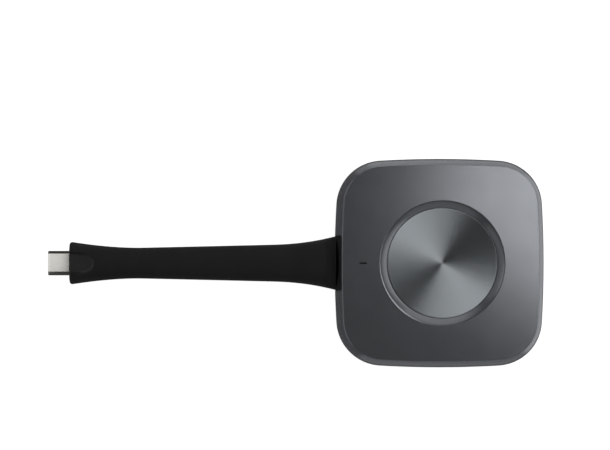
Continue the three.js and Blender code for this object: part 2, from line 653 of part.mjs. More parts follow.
/** The tail's outer shape, with a round edge on the boot's face. */
function tailOutside() {
  const rings = [];
  const straightEnd = TAIL_LENGTH - BOOT_EDGE_RADIUS;
  for (let step = 0; step <= TAIL_STEPS; step += 1) {
    rings.push(tailRing(GAP + ((straightEnd - GAP) * step) / TAIL_STEPS));
  }
  const edgeSteps = 3;
  for (let step = 1; step <= edgeSteps; step += 1) {
    const angle = (step / edgeSteps) * (Math.PI / 2);
    const inset = BOOT_EDGE_RADIUS * (1 - Math.cos(angle));
    rings.push(tailRing(straightEnd + BOOT_EDGE_RADIUS * Math.sin(angle), inset));
  }
  return loft(rings);
}

/** A slab with half-round edges, the USB-C plug's section, between two places along X. */
function plugSlab(width, thickness, x0, x1) {
  const shape = new THREE.Shape();
  const radius = thickness / 2;
  const flat = width / 2 - radius;
  shape.absarc(flat, 0, radius, -Math.PI / 2, Math.PI / 2);
  shape.absarc(-flat, 0, radius, Math.PI / 2, Math.PI * 1.5);
  const depth = x1 - x0;
  const geometry = new THREE.ExtrudeGeometry(shape, { depth, bevelEnabled: false, curveSegments: 6 });
  geometry.applyMatrix4(new THREE.Matrix4().makeBasis(
    new THREE.Vector3(0, 1, 0), new THREE.Vector3(0, 0, 1), new THREE.Vector3(1, 0, 0),
  ));
  geometry.translate(x0, 0, PLUG_Z);
  return solid(geometry);
}

/** The cable's centre line, from the socket on the board to the plug's own board. */
function cableRoute() {
  const along = TAIL_START_X - CABLE_END_X; // how far down the tail the cable ends
  const spacing = TAIL_LENGTH / (TAIL_HEIGHTS.length - 1);
  const inTail = Array.from({ length: Math.floor(along / spacing) }, (_, index) => index * spacing);
  return new THREE.CatmullRomCurve3([
    new THREE.Vector3(SOCKET_X - SOCKET_LENGTH / 2 - GAP, 0, CABLE_INSIDE_Z),
    new THREE.Vector3(CLAMP_X, 0, CABLE_INSIDE_Z),
    new THREE.Vector3(INNER_FLANGE_BACK_X, 0, ROOT_Z),
    ...[...inTail, along].map((distance) => tailRoute.getPoint(distance / TAIL_LENGTH)),
  ]);
}

/** The pocket in the boot that holds the plug's rear end and its board. */
function plugPocket() {
  const shellPocket = plugSlab(
    PLUG_WIDTH + 2 * GAP, PLUG_THICKNESS + 2 * GAP, BOOT_FACE_X - OVERRUN, PLUG_REAR_X + GAP,
  );
  const halfHeight = PLUG_BOARD.thickness / 2 + GAP;
  const boardPocket = box(
    [PLUG_REAR_X, -PLUG_BOARD.halfWidth - GAP, PLUG_Z - halfHeight - GAP],
    [CABLE_END_X, PLUG_BOARD.halfWidth + GAP, PLUG_Z + halfHeight],
  );
  return union(shellPocket, boardPocket);
}

function tail() {
  const neck = box(
    [TAIL_START_X - 2 * GAP, -ROOT_HALF_WIDTH, ROOT_Z - ROOT_HALF_HEIGHT],
    [INNER_FLANGE_BACK_X, ROOT_HALF_WIDTH, ROOT_Z + ROOT_HALF_HEIGHT],
  );
  const flange = box(
    [COLLAR_BACK_X + GAP, -INNER_FLANGE_HALF_WIDTH, ROOT_Z - INNER_FLANGE_HALF_HEIGHT],
    [INNER_FLANGE_BACK_X, INNER_FLANGE_HALF_WIDTH, ROOT_Z + INNER_FLANGE_HALF_HEIGHT],
  );
  const bore = tube(cableRoute(), CABLE_RADIUS + GAP, CABLE_SIDES, CABLE_STEPS);
  return cut(union(tailOutside(), neck, flange), bore, plugPocket());
}

/** The block that fills the side wall's opening and lies flush with the wall. */
function tailCollar() {
  const puck = union(upperBody(0, WIDEST_Z, COLLAR_TOP), lowerBody(0, COLLAR_BOTTOM, WIDEST_Z));
  const window = box(
    [-PUCK_HALF - OVERRUN, -COLLAR_HALF, COLLAR_BOTTOM],
    [COLLAR_BACK_X, COLLAR_HALF, COLLAR_TOP],
  );
  const hole = box(
    [-PUCK_HALF - 2 * OVERRUN, -ROOT_HALF_WIDTH - GAP, ROOT_Z - ROOT_HALF_HEIGHT - GAP],
    [COLLAR_BACK_X + OVERRUN, ROOT_HALF_WIDTH + GAP, ROOT_Z + ROOT_HALF_HEIGHT + GAP],
  );
  return cut(puck.intersect(window), hole);
}

function innerCable() {
  return tube(cableRoute(), CABLE_RADIUS, CABLE_SIDES, CABLE_STEPS);
}

// ---------------------------------------------------------------- cable fittings inside the puck

function cableSocket() {
  return block(SOCKET_X, 0, SOCKET_LENGTH, SOCKET_WIDTH, ON_BOARD, FRAME_BOTTOM - GAP);
}

function cableHeader() {
  const x = SOCKET_X + SOCKET_LENGTH + GAP;
  return block(x, 0, SOCKET_LENGTH, SOCKET_WIDTH + 1, ON_BOARD, FRAME_BOTTOM - GAP);
}

function cableClamp() {
  const length = 2 * (CLAMP_POST_Y + SMALL_POST_RADIUS);
  const through = [CLAMP_BAR_BOTTOM - OVERRUN, CLAMP_BAR_TOP + OVERRUN];
  const holes = posts(CLAMP_SCREW_PLACES, SMALL_HOLE_RADIUS, ...through, SCREW_HOLE_SIDES);
  return cut(block(CLAMP_X, 0, CLAMP_BAR_WIDTH, length, CLAMP_BAR_BOTTOM, CLAMP_BAR_TOP), ...holes);
}

// ---------------------------------------------------------------- plug

function plugShell() {
  const [innerWidth, innerThickness] = [PLUG_WIDTH - 2 * PLUG_WALL, PLUG_THICKNESS - 2 * PLUG_WALL];
  return cut(
    plugSlab(PLUG_WIDTH, PLUG_THICKNESS, PLUG_TIP_X, PLUG_REAR_X),
    plugSlab(innerWidth, innerThickness, PLUG_TIP_X - OVERRUN, PLUG_REAR_X + OVERRUN),
  );
}

/** The plastic core that holds the contacts, with the mouth that takes the other side's tongue. */
function plugInsulator() {
  const core = plugSlab(INSULATOR_WIDTH, INSULATOR_THICKNESS, PLUG_TIP_X + GAP, PLUG_REAR_X);
  const mouth = box(
    [PLUG_TIP_X, -MOUTH.halfWidth, PLUG_Z - MOUTH.halfHeight],
    [PLUG_TIP_X + MOUTH.depth, MOUTH.halfWidth, PLUG_Z + MOUTH.halfHeight],
  );
  return cut(core, mouth);
}

/** The sprung latch in the mouth: two arms joined by a bridge at the back. */
function plugLatch() {
  const [front, back] = [PLUG_TIP_X + LATCH.front, PLUG_TIP_X + LATCH.back];
  const sheet = box(
    [front, -LATCH.halfWidth, PLUG_Z - LATCH.halfThickness],
    [back, LATCH.halfWidth, PLUG_Z + LATCH.halfThickness],
  );
  const throatHalf = LATCH.halfWidth - LATCH.arm;
  const throat = box(
    [front - OVERRUN, -throatHalf, PLUG_Z - OVERRUN], [back - LATCH.bridge, throatHalf, PLUG_Z + OVERRUN],
  );
  return cut(sheet, throat);
}

function plugBoard() {
  const front = PLUG_REAR_X + GAP;
  const half = PLUG_BOARD.thickness / 2;
  return box(
    [front, -PLUG_BOARD.halfWidth, PLUG_Z - half],
    [front + PLUG_BOARD.length, PLUG_BOARD.halfWidth, PLUG_Z + half],
  );
}

// ---------------------------------------------------------------- assembly

const dongle = new THREE.Group();

/** Adds a piece to the assembly under its own name. */
function add(name, body, finish) {
  const mesh = new THREE.Mesh(geometryOf(body), new THREE.MeshStandardMaterial(FINISHES[finish]));
  mesh.name = name;
  dongle.add(mesh);
}

/** Adds one numbered screw at each place. */
function addScrews(name, places, seat, direction, size) {
  places.forEach(([x, y], index) => {
    add(`${name}_${index + 1}`, screw(x, y, seat, direction, size), 'screwSteel');
  });
}

add('foot_pad', footPad(), 'blackRubber');
add('bottom_shell', bottomShell(), 'blackPlastic');
add('top_cover', topCover(), 'greyMetal');
addScrews('case_screw', CASE_SCREW_PLACES, CASE_SCREW_SEAT, 1, CASE_SCREW);

add('button_cap', buttonCap(), 'spunMetal');
add('button_carrier', buttonCarrier(), 'blackPlastic');
add('return_pad', returnPad(), 'silicone');
add('button_frame', buttonFrame(), 'blackPlastic');
addScrews('frame_screw', FRAME_SCREW_PLACES, FRAME_BOTTOM - GAP, 1, SMALL_SCREW);
add('switch_body', switchBody(), 'chipBlack');
add('switch_plunger', switchPlunger(), 'cream');

add('main_board', mainBoard(), 'boardGreen');
addScrews('board_screw', BOARD_SCREW_PLACES, BOARD_TOP + GAP, -1, SMALL_SCREW);
add('processor', processor(), 'chipBlack');
add('thermal_pad', thermalPad(), 'greyPad');
add('heat_spreader', heatSpreader(), 'aluminium');
Object.entries(CHIPS).forEach(([name, place]) => add(name, chip(place), 'chipBlack'));
add('radio_shield', radioShield(), 'tin');
SIDES.forEach((side, index) => {
  add(`antenna_${index + 1}`, antenna(side), 'boardGreen');
  add(`antenna_lead_${index + 1}`, antennaLead(side), 'blackRubber');
});
add('indicator_led', chip(LED), 'cream');
add('light_pipe', lightPipe(), 'clearPlastic');

add('cable_header', cableHeader(), 'cream');
add('cable_socket', cableSocket(), 'cream');
add('cable_clamp', cableClamp(), 'blackPlastic');
addScrews('clamp_screw', CLAMP_SCREW_PLACES, CLAMP_BAR_TOP + GAP, -1, CLAMP_SCREW);
add('tail_collar', tailCollar(), 'blackPlastic');
add('tail', tail(), 'blackRubber');
add('inner_cable', innerCable(), 'blackPlastic');
add('plug_shell', plugShell(), 'steel');
add('plug_insulator', plugInsulator(), 'blackPlastic');
add('plug_latch', plugLatch(), 'steel');
add('plug_board', plugBoard(), 'boardGreen');

export default dongle;
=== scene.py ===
"""Wireless presentation dongle: the finished look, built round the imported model.

Everything is in metres in the model's own frame: +Z up through the push button, the tail
towards -X, and the table at Z = 0.
"""

import json
import math

import bmesh
import bpy
from bpy.props import FloatProperty, FloatVectorProperty, PointerProperty
from mathutils import Matrix, Vector


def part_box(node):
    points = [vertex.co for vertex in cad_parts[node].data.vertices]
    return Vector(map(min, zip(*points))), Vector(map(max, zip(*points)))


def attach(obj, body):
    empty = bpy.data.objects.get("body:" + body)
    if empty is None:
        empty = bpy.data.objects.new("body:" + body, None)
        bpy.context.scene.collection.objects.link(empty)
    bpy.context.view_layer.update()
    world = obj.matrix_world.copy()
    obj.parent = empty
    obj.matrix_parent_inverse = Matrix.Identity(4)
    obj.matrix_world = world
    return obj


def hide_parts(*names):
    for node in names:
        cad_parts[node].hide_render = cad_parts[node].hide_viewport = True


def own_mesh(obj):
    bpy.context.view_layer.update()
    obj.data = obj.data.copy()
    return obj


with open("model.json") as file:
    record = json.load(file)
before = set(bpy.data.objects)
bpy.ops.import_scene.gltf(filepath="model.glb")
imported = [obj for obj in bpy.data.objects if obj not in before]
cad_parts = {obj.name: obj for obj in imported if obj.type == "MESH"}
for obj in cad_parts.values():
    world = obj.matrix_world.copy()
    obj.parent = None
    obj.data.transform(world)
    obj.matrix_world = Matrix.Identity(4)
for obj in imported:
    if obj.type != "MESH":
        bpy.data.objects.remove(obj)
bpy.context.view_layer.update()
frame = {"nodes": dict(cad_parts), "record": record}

bl_info = {
    "name": "Presentation Dongle",
    "version": (1, 0, 0),
    "blender": (4, 5, 0),
    "location": "3D View > Sidebar > Dongle",
    "description": "Builds a metal-topped presentation dongle with a flat tail and a USB-C plug",
    "category": "Add Mesh",
}

MM = 0.001

COVER_LOW, COVER_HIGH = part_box("top_cover")
SHELL_LOW, SHELL_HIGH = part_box("bottom_shell")
FOOT_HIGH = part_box("foot_pad")[1]
CAP_LOW, CAP_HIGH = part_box("button_cap")
COLLAR_LOW, COLLAR_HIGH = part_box("tail_collar")
TAIL_LOW, TAIL_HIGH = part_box("tail")
PLUG_LOW, PLUG_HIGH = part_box("plug_shell")
CORE_LOW, CORE_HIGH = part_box("plug_insulator")
PAD_LOW, PAD_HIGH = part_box("return_pad")
BUTTON_X = (CAP_LOW.x + CAP_HIGH.x) / 2

# The rounding of the neck that the collar holds, and the neck's half width and half height
NECK_EDGE = 0.4 * MM
NECK_HALF_WIDTH, NECK_HALF_HEIGHT = 5 * MM, 2.5 * MM

# The tail's centre line: its height at even steps from the puck's wall to the boot's face
TAIL_HEIGHTS = (
    0.0074, 0.00735, 0.0071, 0.0065, 0.0057, 0.0048, 0.00395, 0.00325,
    0.0028, 0.00255, 0.00245, 0.00245, 0.0025, 0.00268, 0.00295, 0.0033,
)


# ------------------------------------------------------------------ settings

def length(name, description, default):
    """A size in metres that the user can change."""
    return FloatProperty(
        name=name, description=description, default=default, unit="LENGTH", precision=5,
    )


def colour(name, description, default):
    """A colour that the user can change."""
    return FloatVectorProperty(
        name=name, description=description, default=default, subtype="COLOR", size=3, min=0, max=1,
    )


def glow(name, description, default):
    """A brightness that the user can change; 1 is white."""
    return FloatProperty(name=name, description=description, default=default, min=0)


def factor(name, description, default):
    """A share from 0 to 1 that the user can change."""
    return FloatProperty(
        name=name, description=description, default=default, subtype="FACTOR", min=0, max=1,
    )


class DONGLE_PG_puck(bpy.types.PropertyGroup):
    """Sizes of the puck and its button."""

    half: length("Half width", "From the middle to the widest line of a side", COVER_HIGH.x)
    corner: length("Corner radius", "Radius of the outline's corners", 15.25 * MM)
    bow: length("Side bow", "How far each side bows out past its corners", 0.55 * MM)
    top: length("Top", "Height of the plate", COVER_HIGH.z)
    widest: length("Widest height", "Height of the widest line", COVER_LOW.z + 0.15 * MM)
    plate_inset: length("Plate inset", "How far the plate's bevel lies inside the widest line", 2.1 * MM)
    bevel: length("Plate bevel", "Width of the plate's bright bevel", 0.35 * MM)
    underside: length("Underside", "Height of the shell's underside", SHELL_LOW.z)
    underside_inset: length("Underside inset", "How far the underside lies inside the widest line", 5 * MM)
    wall: length("Wall", "Wall thickness of both shells", 1.5 * MM)
    seam: length("Seam", "Half the gap between the two shells", 0.12 * MM)
    disc_radius: length("Disc radius", "Radius of the button's metal disc", CAP_HIGH.x - BUTTON_X)
    dish_radius: length("Dish radius", "Outer radius of the sloping dish round the button", 20.5 * MM)
    dish_drop: length("Dish drop", "How far the dish falls towards the button", 1.2 * MM)
    clearance: length("Clearance", "Running gap round the button", 0.13 * MM)


class DONGLE_PG_tail(bpy.types.PropertyGroup):
    """Sizes of the tail and its plug."""

    span: length("Length", "From the puck's wall to the boot's face", 89.2 * MM)
    width: length("Width", "Width that the straight taper would have at the puck", 13.33 * MM)
    taper: FloatProperty(name="Taper", description="Loss of width per unit of length", default=0.0445)
    thickness: length("Thickness", "Thickness of the tail's neck", 4.6 * MM)
    squareness: FloatProperty(
        name="Squareness", description="2 is an ellipse, larger is flatter", default=2.6,
    )
    root_flare: length("Root flare", "Extra width where the tail meets the puck", 4.55 * MM)
    root_reach: length("Root reach", "How far the wide root goes along the tail", 21 * MM)
    root_thickness: length("Root thickness", "Extra thickness where the tail meets the puck", 2.9 * MM)
    root_fillet: length("Root fillet", "How far the top curves up towards the puck", 3 * MM)
    fillet_reach: length("Fillet reach", "How far that curve goes along the tail", 4 * MM)
    boot_flare: length("Boot flare", "Extra width at the boot's face", 5.2 * MM)
    boot_reach: length("Boot reach", "How far the boot goes along the tail", 24.35 * MM)
    boot_thickness: length("Boot thickness", "Extra thickness at the boot's face", 1.9 * MM)
    facet: length("Facet length", "Length of the flat on top of the boot", 8.4 * MM)
    facet_width: length("Facet width", "Width of the flat on top of the boot", 6.9 * MM)
    facet_depth: length("Facet depth", "How far the flat is cut below the tail's top", 0.12 * MM)
    plug_wall: length("Plug wall", "Sheet thickness of the plug's shell", 0.3 * MM)


class DONGLE_PG_finish(bpy.types.PropertyGroup):
    """Colours and surface qualities."""

    cover: colour("Cover", "Grey metal of the top cover", (0.34, 0.353, 0.38))
    cover_roughness: factor("Cover roughness", "Roughness of the top cover", 0.22)
    disc: colour("Button", "Spun metal of the button", (0.47, 0.505, 0.53))
    disc_roughness: factor("Button roughness", "Roughness of the button", 0.235)
    disc_grain: factor("Button grain", "How far the turning lines stretch a highlight", 0.95)
    plastic: colour("Shell", "Black plastic of the bottom shell", (0.012, 0.012, 0.0125))
    rubber: colour("Tail", "Black elastomer of the tail", (0.025, 0.025, 0.025))
    steel: colour("Plug", "Stainless steel of the plug", (0.76, 0.74, 0.70))


class DONGLE_PG_studio(bpy.types.PropertyGroup):
    """Camera and lights."""

    camera_x: length("Camera X", "Where the camera hangs along the object", -48.05 * MM)
    camera_height: length("Camera height", "Height of the camera above the table", 490 * MM)
    lens: FloatProperty(name="Lens", description="Focal length in millimetres", default=85.1)
    shift_x: FloatProperty(name="Shift X", description="Sideways lens shift", default=0.0166)
    shift_y: FloatProperty(name="Shift Y", description="Upwards lens shift", default=0.0625)
    key: glow("Key light", "Brightness of the large softbox above the puck's corner", 1.5)
    plug: glow("Plug light", "Brightness of the softbox above the plug", 0.8)
    right: glow("Right panel", "Brightness of the low panel to the right", 0.58)
    back: glow("Back panel", "Brightness of the low panel behind", 0.42)
    front: glow("Front panel", "Brightness of the low panel in front", 0.16)
    left: glow("Left panel", "Brightness of the low panel to the left", 0.2)
    room: glow("Room", "Brightness of the room", 0.045)
    floor: colour("Floor", "Pale floor", (0.8, 0.8, 0.8))
    floor_glow: glow("Floor glow", "Brightness of the lit floor", 0.95)


# ------------------------------------------------------------------ mesh building

def new_object(name, mesh):
    """A scene object that holds a mesh."""
    piece = bpy.data.objects.new(name, mesh)
    bpy.context.scene.collection.objects.link(piece)
    return piece


def lofted(name, rings, looped=False, capped=False):
    """A mesh through rings of equal point counts, looped back to the first or capped at both ends."""
    shape = bmesh.new()
    rows = [[shape.verts.new(point) for point in ring] for ring in rings]
    pairs = list(zip(rows, rows[1:]))
    if looped:
        pairs.append((rows[-1], rows[0]))
    for low, high in pairs:
        for side in range(len(low)):
            other = (side + 1) % len(low)
            shape.faces.new((low[side], low[other], high[other], high[side]))
    if capped:
        shape.faces.new(list(reversed(rows[0])))
        shape.faces.new(rows[-1])
    bmesh.ops.recalc_face_normals(shape, faces=shape.faces)
    mesh = bpy.data.meshes.new(name)
    shape.to_mesh(mesh)
    shape.free()
    return new_object(name, mesh)


def smooth(piece, degrees=32):
    """Smooth shading that breaks at edges sharper than an angle."""
    piece.data.polygons.foreach_set("use_smooth", [True] * len(piece.data.polygons))
    piece.data.set_sharp_from_angle(angle=math.radians(degrees))
    return piece


def applied(piece):
    """Bakes a piece's modifiers into its mesh."""
    graph = bpy.context.evaluated_depsgraph_get()
    graph.update()
    mesh = bpy.data.meshes.new_from_object(piece.evaluated_get(graph))
    piece.modifiers.clear()
    old = piece.data
    piece.data = mesh
    mesh.name = piece.name
    bpy.data.meshes.remove(old)
    return piece


def combined(piece, tool, operation):
    """Cuts, joins or intersects a piece with a tool, and removes the tool."""
    modifier = piece.modifiers.new("combine", "BOOLEAN")
    modifier.operation = operation
    modifier.solver = "EXACT"
    modifier.object = tool
    applied(piece)
    bpy.data.objects.remove(tool)
    return piece


def rounded_box(name, low, high, radius, segments=3):
    """A box between two corners with every edge rounded."""
    shape = bmesh.new()
    bmesh.ops.create_cube(shape, size=1)
    middle = (Vector(low) + Vector(high)) / 2
    size = Vector(high) - Vector(low)
    for vertex in shape.verts:
        vertex.co = middle + Vector(vertex.co[axis] * size[axis] for axis in range(3))
    bmesh.ops.bevel(
        shape, geom=list(shape.edges), offset=radius, segments=segments, profile=0.5, affect="EDGES",
    )
    mesh = bpy.data.meshes.new(name)
    shape.to_mesh(mesh)
    shape.free()
    return new_object(name, mesh)


def circle(radius, z, angles, x=0.0):
    """A level ring of points at the given angles round a place on the X axis."""
    return [(x + radius * math.cos(angle), radius * math.sin(angle), z) for angle in angles]


def turned(name, profile, count=192):
    """A solid of revolution about Z through (radius, height) pairs, capped at both ends."""
    angles = [2 * math.pi * side / count for side in range(count)]
    return lofted(name, [circle(radius, z, angles) for radius, z in profile], capped=True)


def rounded_square(half, corner, bow, inset, z, side_steps=20, corner_steps=20):
    """A level ring round a square whose sides bow out a little and whose corners are round."""
    at = half - bow - corner
    reach = (at ** 2 - bow ** 2) / (2 * bow)
    side_radius = reach + half - at
    tangent = math.atan2(at, reach)
    points = []
    for quarter in range(4):
        turn = Matrix.Rotation(quarter * math.pi / 2, 3, "Z")
        arcs = (
            (half - side_radius, 0, side_radius - inset, -tangent, tangent, side_steps),
            (at, at, corner - inset, tangent, math.pi / 2 - tangent, corner_steps),
        )
        for centre_x, centre_y, radius, start, end, steps in arcs:
            for step in range(steps):
                angle = start + (end - start) * step / steps
                x = centre_x + radius * math.cos(angle)
                y = centre_y + radius * math.sin(angle)
                points.append(tuple(turn @ Vector((x, y, z))))
    return points


def outline(puck, inset, z):
    """The puck's outline, drawn in by an inset."""
    return rounded_square(puck.half, puck.corner, puck.bow, inset, z)


def outline_angles(puck):
    """The directions of the outline's points, so that round rings line up with it."""
    return [math.atan2(y, x) for x, y, _ in outline(puck, 0, 0)]


def upper_inset(puck, z):
    """How far the cover's side has drawn in at a height: ever faster, up to the plate's bevel."""
    top = puck.top - puck.bevel
    share = min(1, max(0, (z - puck.widest) / (top - puck.widest)))
    return puck.plate_inset * share ** 3


def lower_inset(puck, z):
    """How far the bottom shell's side has drawn in at a height: a quarter of an ellipse."""
    share = min(1, max(0, (puck.widest - z) / (puck.widest - puck.underside)))
    return puck.underside_inset * (1 - math.sqrt(1 - share ** 2))


def eased(start, end, steps, late=True):
    """Heights between two levels, closer together towards the end (late) or the start."""
    for step in range(steps + 1):
        share = math.sin(step / steps * math.pi / 2)
        if not late:
            share = 1 - math.cos(step / steps * math.pi / 2)
        yield start + (end - start) * share


# ------------------------------------------------------------------ materials

class Surface:
    """A material with its node tree, and short ways to add nodes to it."""

    def __init__(self, name, base, roughness, metallic=0.0):
        self.material = bpy.data.materials.new(name)
        self.material.use_nodes = True
        self.tree = self.material.node_tree
        self.shader = self.tree.nodes["Principled BSDF"]
        self.set("Base Color", (*base, 1))
        self.set("Roughness", roughness)
        self.set("Metallic", metallic)
        self.place = self.node("ShaderNodeTexCoord").outputs["Object"]

    def set(self, socket, value):
        """Sets one of the shader's own sockets."""
        self.shader.inputs[socket].default_value = value

    def node(self, kind, links=None, **values):
        """Adds a node, with links into it by socket and its settings by name."""
        node = self.tree.nodes.new(kind)
        for key, value in values.items():
            if key in node.inputs:
                node.inputs[key].default_value = value
            else:
                setattr(node, key, value)
        for socket, source in (links or {}).items():
            self.tree.links.new(source, node.inputs[socket])
        return node

    def link(self, source, socket):
        """Links an output to one of the shader's sockets."""
        self.tree.links.new(source, self.shader.inputs[socket])

    def noise(self, size, detail=2.0, stretch=(1, 1, 1)):
        """Noise whose lumps are about a size in metres, stretched along the axes."""
        mapping = self.node(
            "ShaderNodeMapping", {"Vector": self.place}, Scale=[1 / axis for axis in stretch],
        )
        noise = self.node(
            "ShaderNodeTexNoise", {"Vector": mapping.outputs["Vector"]}, Scale=1 / size, Detail=detail,
        )
        return noise.outputs["Fac"]

    def spread(self, source, low, high, centre=0.5, width=0.25):
        """Maps a noise value round its centre to a range."""
        ranged = self.node("ShaderNodeMapRange", {"Value": source})
        ranged.inputs["From Min"].default_value = centre - width
        ranged.inputs["From Max"].default_value = centre + width
        ranged.inputs["To Min"].default_value = low
        ranged.inputs["To Max"].default_value = high
        return ranged.outputs["Result"]

    def tint(self, source, low, high):
        """Mixes two colours by a value into the base colour."""
        ramp = self.node("ShaderNodeValToRGB", {"Fac": source})
        ramp.color_ramp.elements[0].color = (*low, 1)
        ramp.color_ramp.elements[1].color = (*high, 1)
        self.link(ramp.outputs["Color"], "Base Color")

    def bumps(self, *layers):
        """Stacks bump layers, each a (height source, distance in metres, strength)."""
        normal = None
        for source, distance, strength in layers:
            links = {"Height": source}
            if normal is not None:
                links["Normal"] = normal
            bump = self.node("ShaderNodeBump", links, Strength=strength, Distance=distance)
            normal = bump.outputs["Normal"]
        self.link(normal, "Normal")


def shades(base, spread):
    """A darker and a lighter shade of a colour."""
    darker = [channel * (1 - spread) for channel in base]
    lighter = [min(1, channel * (1 + spread)) for channel in base]
    return darker, lighter


def blasted_metal(finish):
    """Grey metal with a fine bead-blasted grain."""
    surface = Surface("blasted_metal", finish.cover, finish.cover_roughness, 0.74)
    grain = surface.noise(0.34 * MM, detail=3)
    cloud = surface.noise(6 * MM)
    surface.tint(grain, *shades(finish.cover, 0.25))
    rough, patchy = finish.cover_roughness, 0.012
    surface.link(surface.spread(cloud, rough - patchy, rough + patchy), "Roughness")
    surface.bumps((grain, 0.012 * MM, 0.4))
    return surface.material


def spun_metal(finish):
    """Turned metal: fine rings about the button's axis and stretched highlights."""
    surface = Surface("spun_metal", finish.disc, finish.disc_roughness, 1.0)
    surface.set("Anisotropic", finish.disc_grain)
    tangent = surface.node("ShaderNodeTangent", direction_type="RADIAL", axis="Z")
    surface.link(tangent.outputs["Tangent"], "Tangent")
    split = surface.node("ShaderNodeSeparateXYZ", {"Vector": surface.place})
    flat = surface.node("ShaderNodeCombineXYZ", {"X": split.outputs["X"], "Y": split.outputs["Y"]})
    radius = surface.node("ShaderNodeVectorMath", {0: flat.outputs["Vector"]}, operation="LENGTH")
    spacing, streak = 0.18 * MM, 0.35 * MM
    turns = surface.node("ShaderNodeMath", {0: radius.outputs["Value"]}, operation="MULTIPLY")
    turns.inputs[1].default_value = 2 * math.pi / spacing
    wave = surface.node("ShaderNodeMath", {0: turns.outputs["Value"]}, operation="SINE")
    rings = surface.node(
        "ShaderNodeTexNoise", {"W": radius.outputs["Value"]}, noise_dimensions="1D", Scale=1 / streak,
    )
    surface.tint(rings.outputs["Fac"], *shades(finish.disc, 0.07))
    surface.bumps((wave.outputs["Value"], 0.002 * MM, 0.08), (rings.outputs["Fac"], 0.004 * MM, 0.12))
    return surface.material


def bright_steel(finish):
    """Drawn stainless sheet with faint lines along the plug."""
    surface = Surface("bright_steel", finish.steel, 0.07, 1.0)
    lines = surface.noise(0.12 * MM, detail=2, stretch=(30, 1, 1))
    surface.tint(lines, *shades(finish.steel, 0.05))
    surface.link(surface.spread(lines, 0.06, 0.09), "Roughness")
    surface.bumps((lines, 0.0005 * MM, 0.1))
    return surface.material


def soft_rubber(finish):
    """Black moulded elastomer with a fine matt skin, smoother on the boot's flat, with painted shade
    darkening it to black next to the puck's wall and a painted sheen lightening its colour on the boot's
    flat.
    """
    surface = Surface("soft_rubber", finish.rubber, 0.55)
    skin = surface.noise(0.16 * MM, detail=3)
    cloud = surface.noise(7 * MM, detail=3)
    along = surface.node("ShaderNodeSeparateXYZ", {"Vector": surface.place}).outputs["X"]
    # Painted shade: the colour fades to black over the last few millimetres of the tail, next to the puck's
    # wall.
    root_shade_middle = -COVER_HIGH.x - 1.5 * MM
    root = surface.spread(along, 1, 0, centre=root_shade_middle, width=2.5 * MM)
    flat = surface.node("ShaderNodeAttribute", attribute_name="facet").outputs["Fac"]
    # Painted sheen: on the boot's flat the colour is lifted 1.6 times; the lower roughness set below is the
    # flat's real smoother finish.
    lift = 1.6
    painted_sheen_on_flat = surface.spread(flat, 1 / lift, 1, centre=0.5, width=0.5)
    mottled = surface.spread(cloud, 0.75, 1)
    mottle_with_painted_shade = surface.node("ShaderNodeMath", {0: mottled, 1: root}, operation="MULTIPLY")
    mottle_and_painted_light = surface.node("ShaderNodeMath", {0: mottle_with_painted_shade.outputs["Value"], 1: painted_sheen_on_flat}, operation="MULTIPLY")
    surface.tint(mottle_and_painted_light.outputs["Value"], (0, 0, 0), [lift * channel for channel in finish.rubber])
    surface.link(surface.spread(flat, 0.56, 0.32, centre=0.5, width=0.5), "Roughness")
    surface.bumps((cloud, 0.05 * MM, 0.10), (skin, 0.02 * MM, 0.25))
    return surface.material


def moulded_plastic(finish):
    """Black plastic with a fine spark-eroded texture."""
    surface = Surface("moulded_plastic", finish.plastic, 0.45)
    grain = surface.noise(0.25 * MM, detail=3)
    surface.tint(grain, *shades(finish.plastic, 0.18))
    surface.link(surface.spread(grain, 0.40, 0.52), "Roughness")
    surface.bumps((grain, 0.02 * MM, 0.3))
    return surface.material


def grippy_rubber(finish):
    """Matt rubber of the foot pad."""
    surface = Surface("grippy_rubber", finish.rubber, 0.8)
    grain = surface.noise(0.4 * MM, detail=4)
    surface.tint(grain, *shades([2 * channel for channel in finish.rubber], 0.25))
    surface.bumps((grain, 0.04 * MM, 0.4))
    return surface.material


def speckled(name, base, roughness, metallic=0.0, size=0.3 * MM, spread=0.12, bump=0.2):
    """A plain finish for a hidden piece, with a fine grain in its colour, gloss and relief."""
    surface = Surface(name, base, roughness, metallic)
    grain = surface.noise(size, detail=3)
    surface.tint(grain, *shades(base, spread))
    surface.link(surface.spread(grain, roughness - 0.05, roughness + 0.05), "Roughness")
    surface.bumps((grain, 0.02 * MM, bump))
    return surface.material


HIDDEN_FINISHES = {
    "inner_plastic": dict(base=(0.016, 0.016, 0.017), roughness=0.5),
    "silicone": dict(base=(0.42, 0.43, 0.44), roughness=0.65),
    "component_black": dict(base=(0.02, 0.021, 0.022), roughness=0.5, size=0.15 * MM),
    "cream_plastic": dict(base=(0.68, 0.63, 0.50), roughness=0.5),
    "circuit_board": dict(base=(0.02, 0.10, 0.045), roughness=0.35, size=1.2 * MM, spread=0.2),
    "thermal_rubber": dict(base=(0.2, 0.26, 0.33), roughness=0.8),
    "spreader_metal": dict(base=(0.72, 0.73, 0.74), roughness=0.4, metallic=1.0),
    "shield_metal": dict(base=(0.66, 0.67, 0.68), roughness=0.3, metallic=1.0),
    "cable_jacket": dict(base=(0.02, 0.02, 0.02), roughness=0.5),
    "clear_plastic": dict(base=(0.02, 0.021, 0.022), roughness=0.25),
    "screw_steel": dict(base=(0.45, 0.45, 0.46), roughness=0.35, metallic=1.0),
}


def finished(piece, material):
    """Gives a piece its material."""
    piece.data.materials.clear()
    piece.data.materials.append(material)
    return piece


def fitted(piece, body, slot, *nodes):
    """Puts a piece on its body and hides the nodes that it stands for; the slot argument is not used."""
    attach(piece, body)
    if nodes:
        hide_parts(*nodes)
    return piece


# ------------------------------------------------------------------ tail shape

# How quickly the wide root and the boot fade into the neck: 1 is a straight line
ROOT_CURVE, BOOT_CURVE = 2.2, 1.75


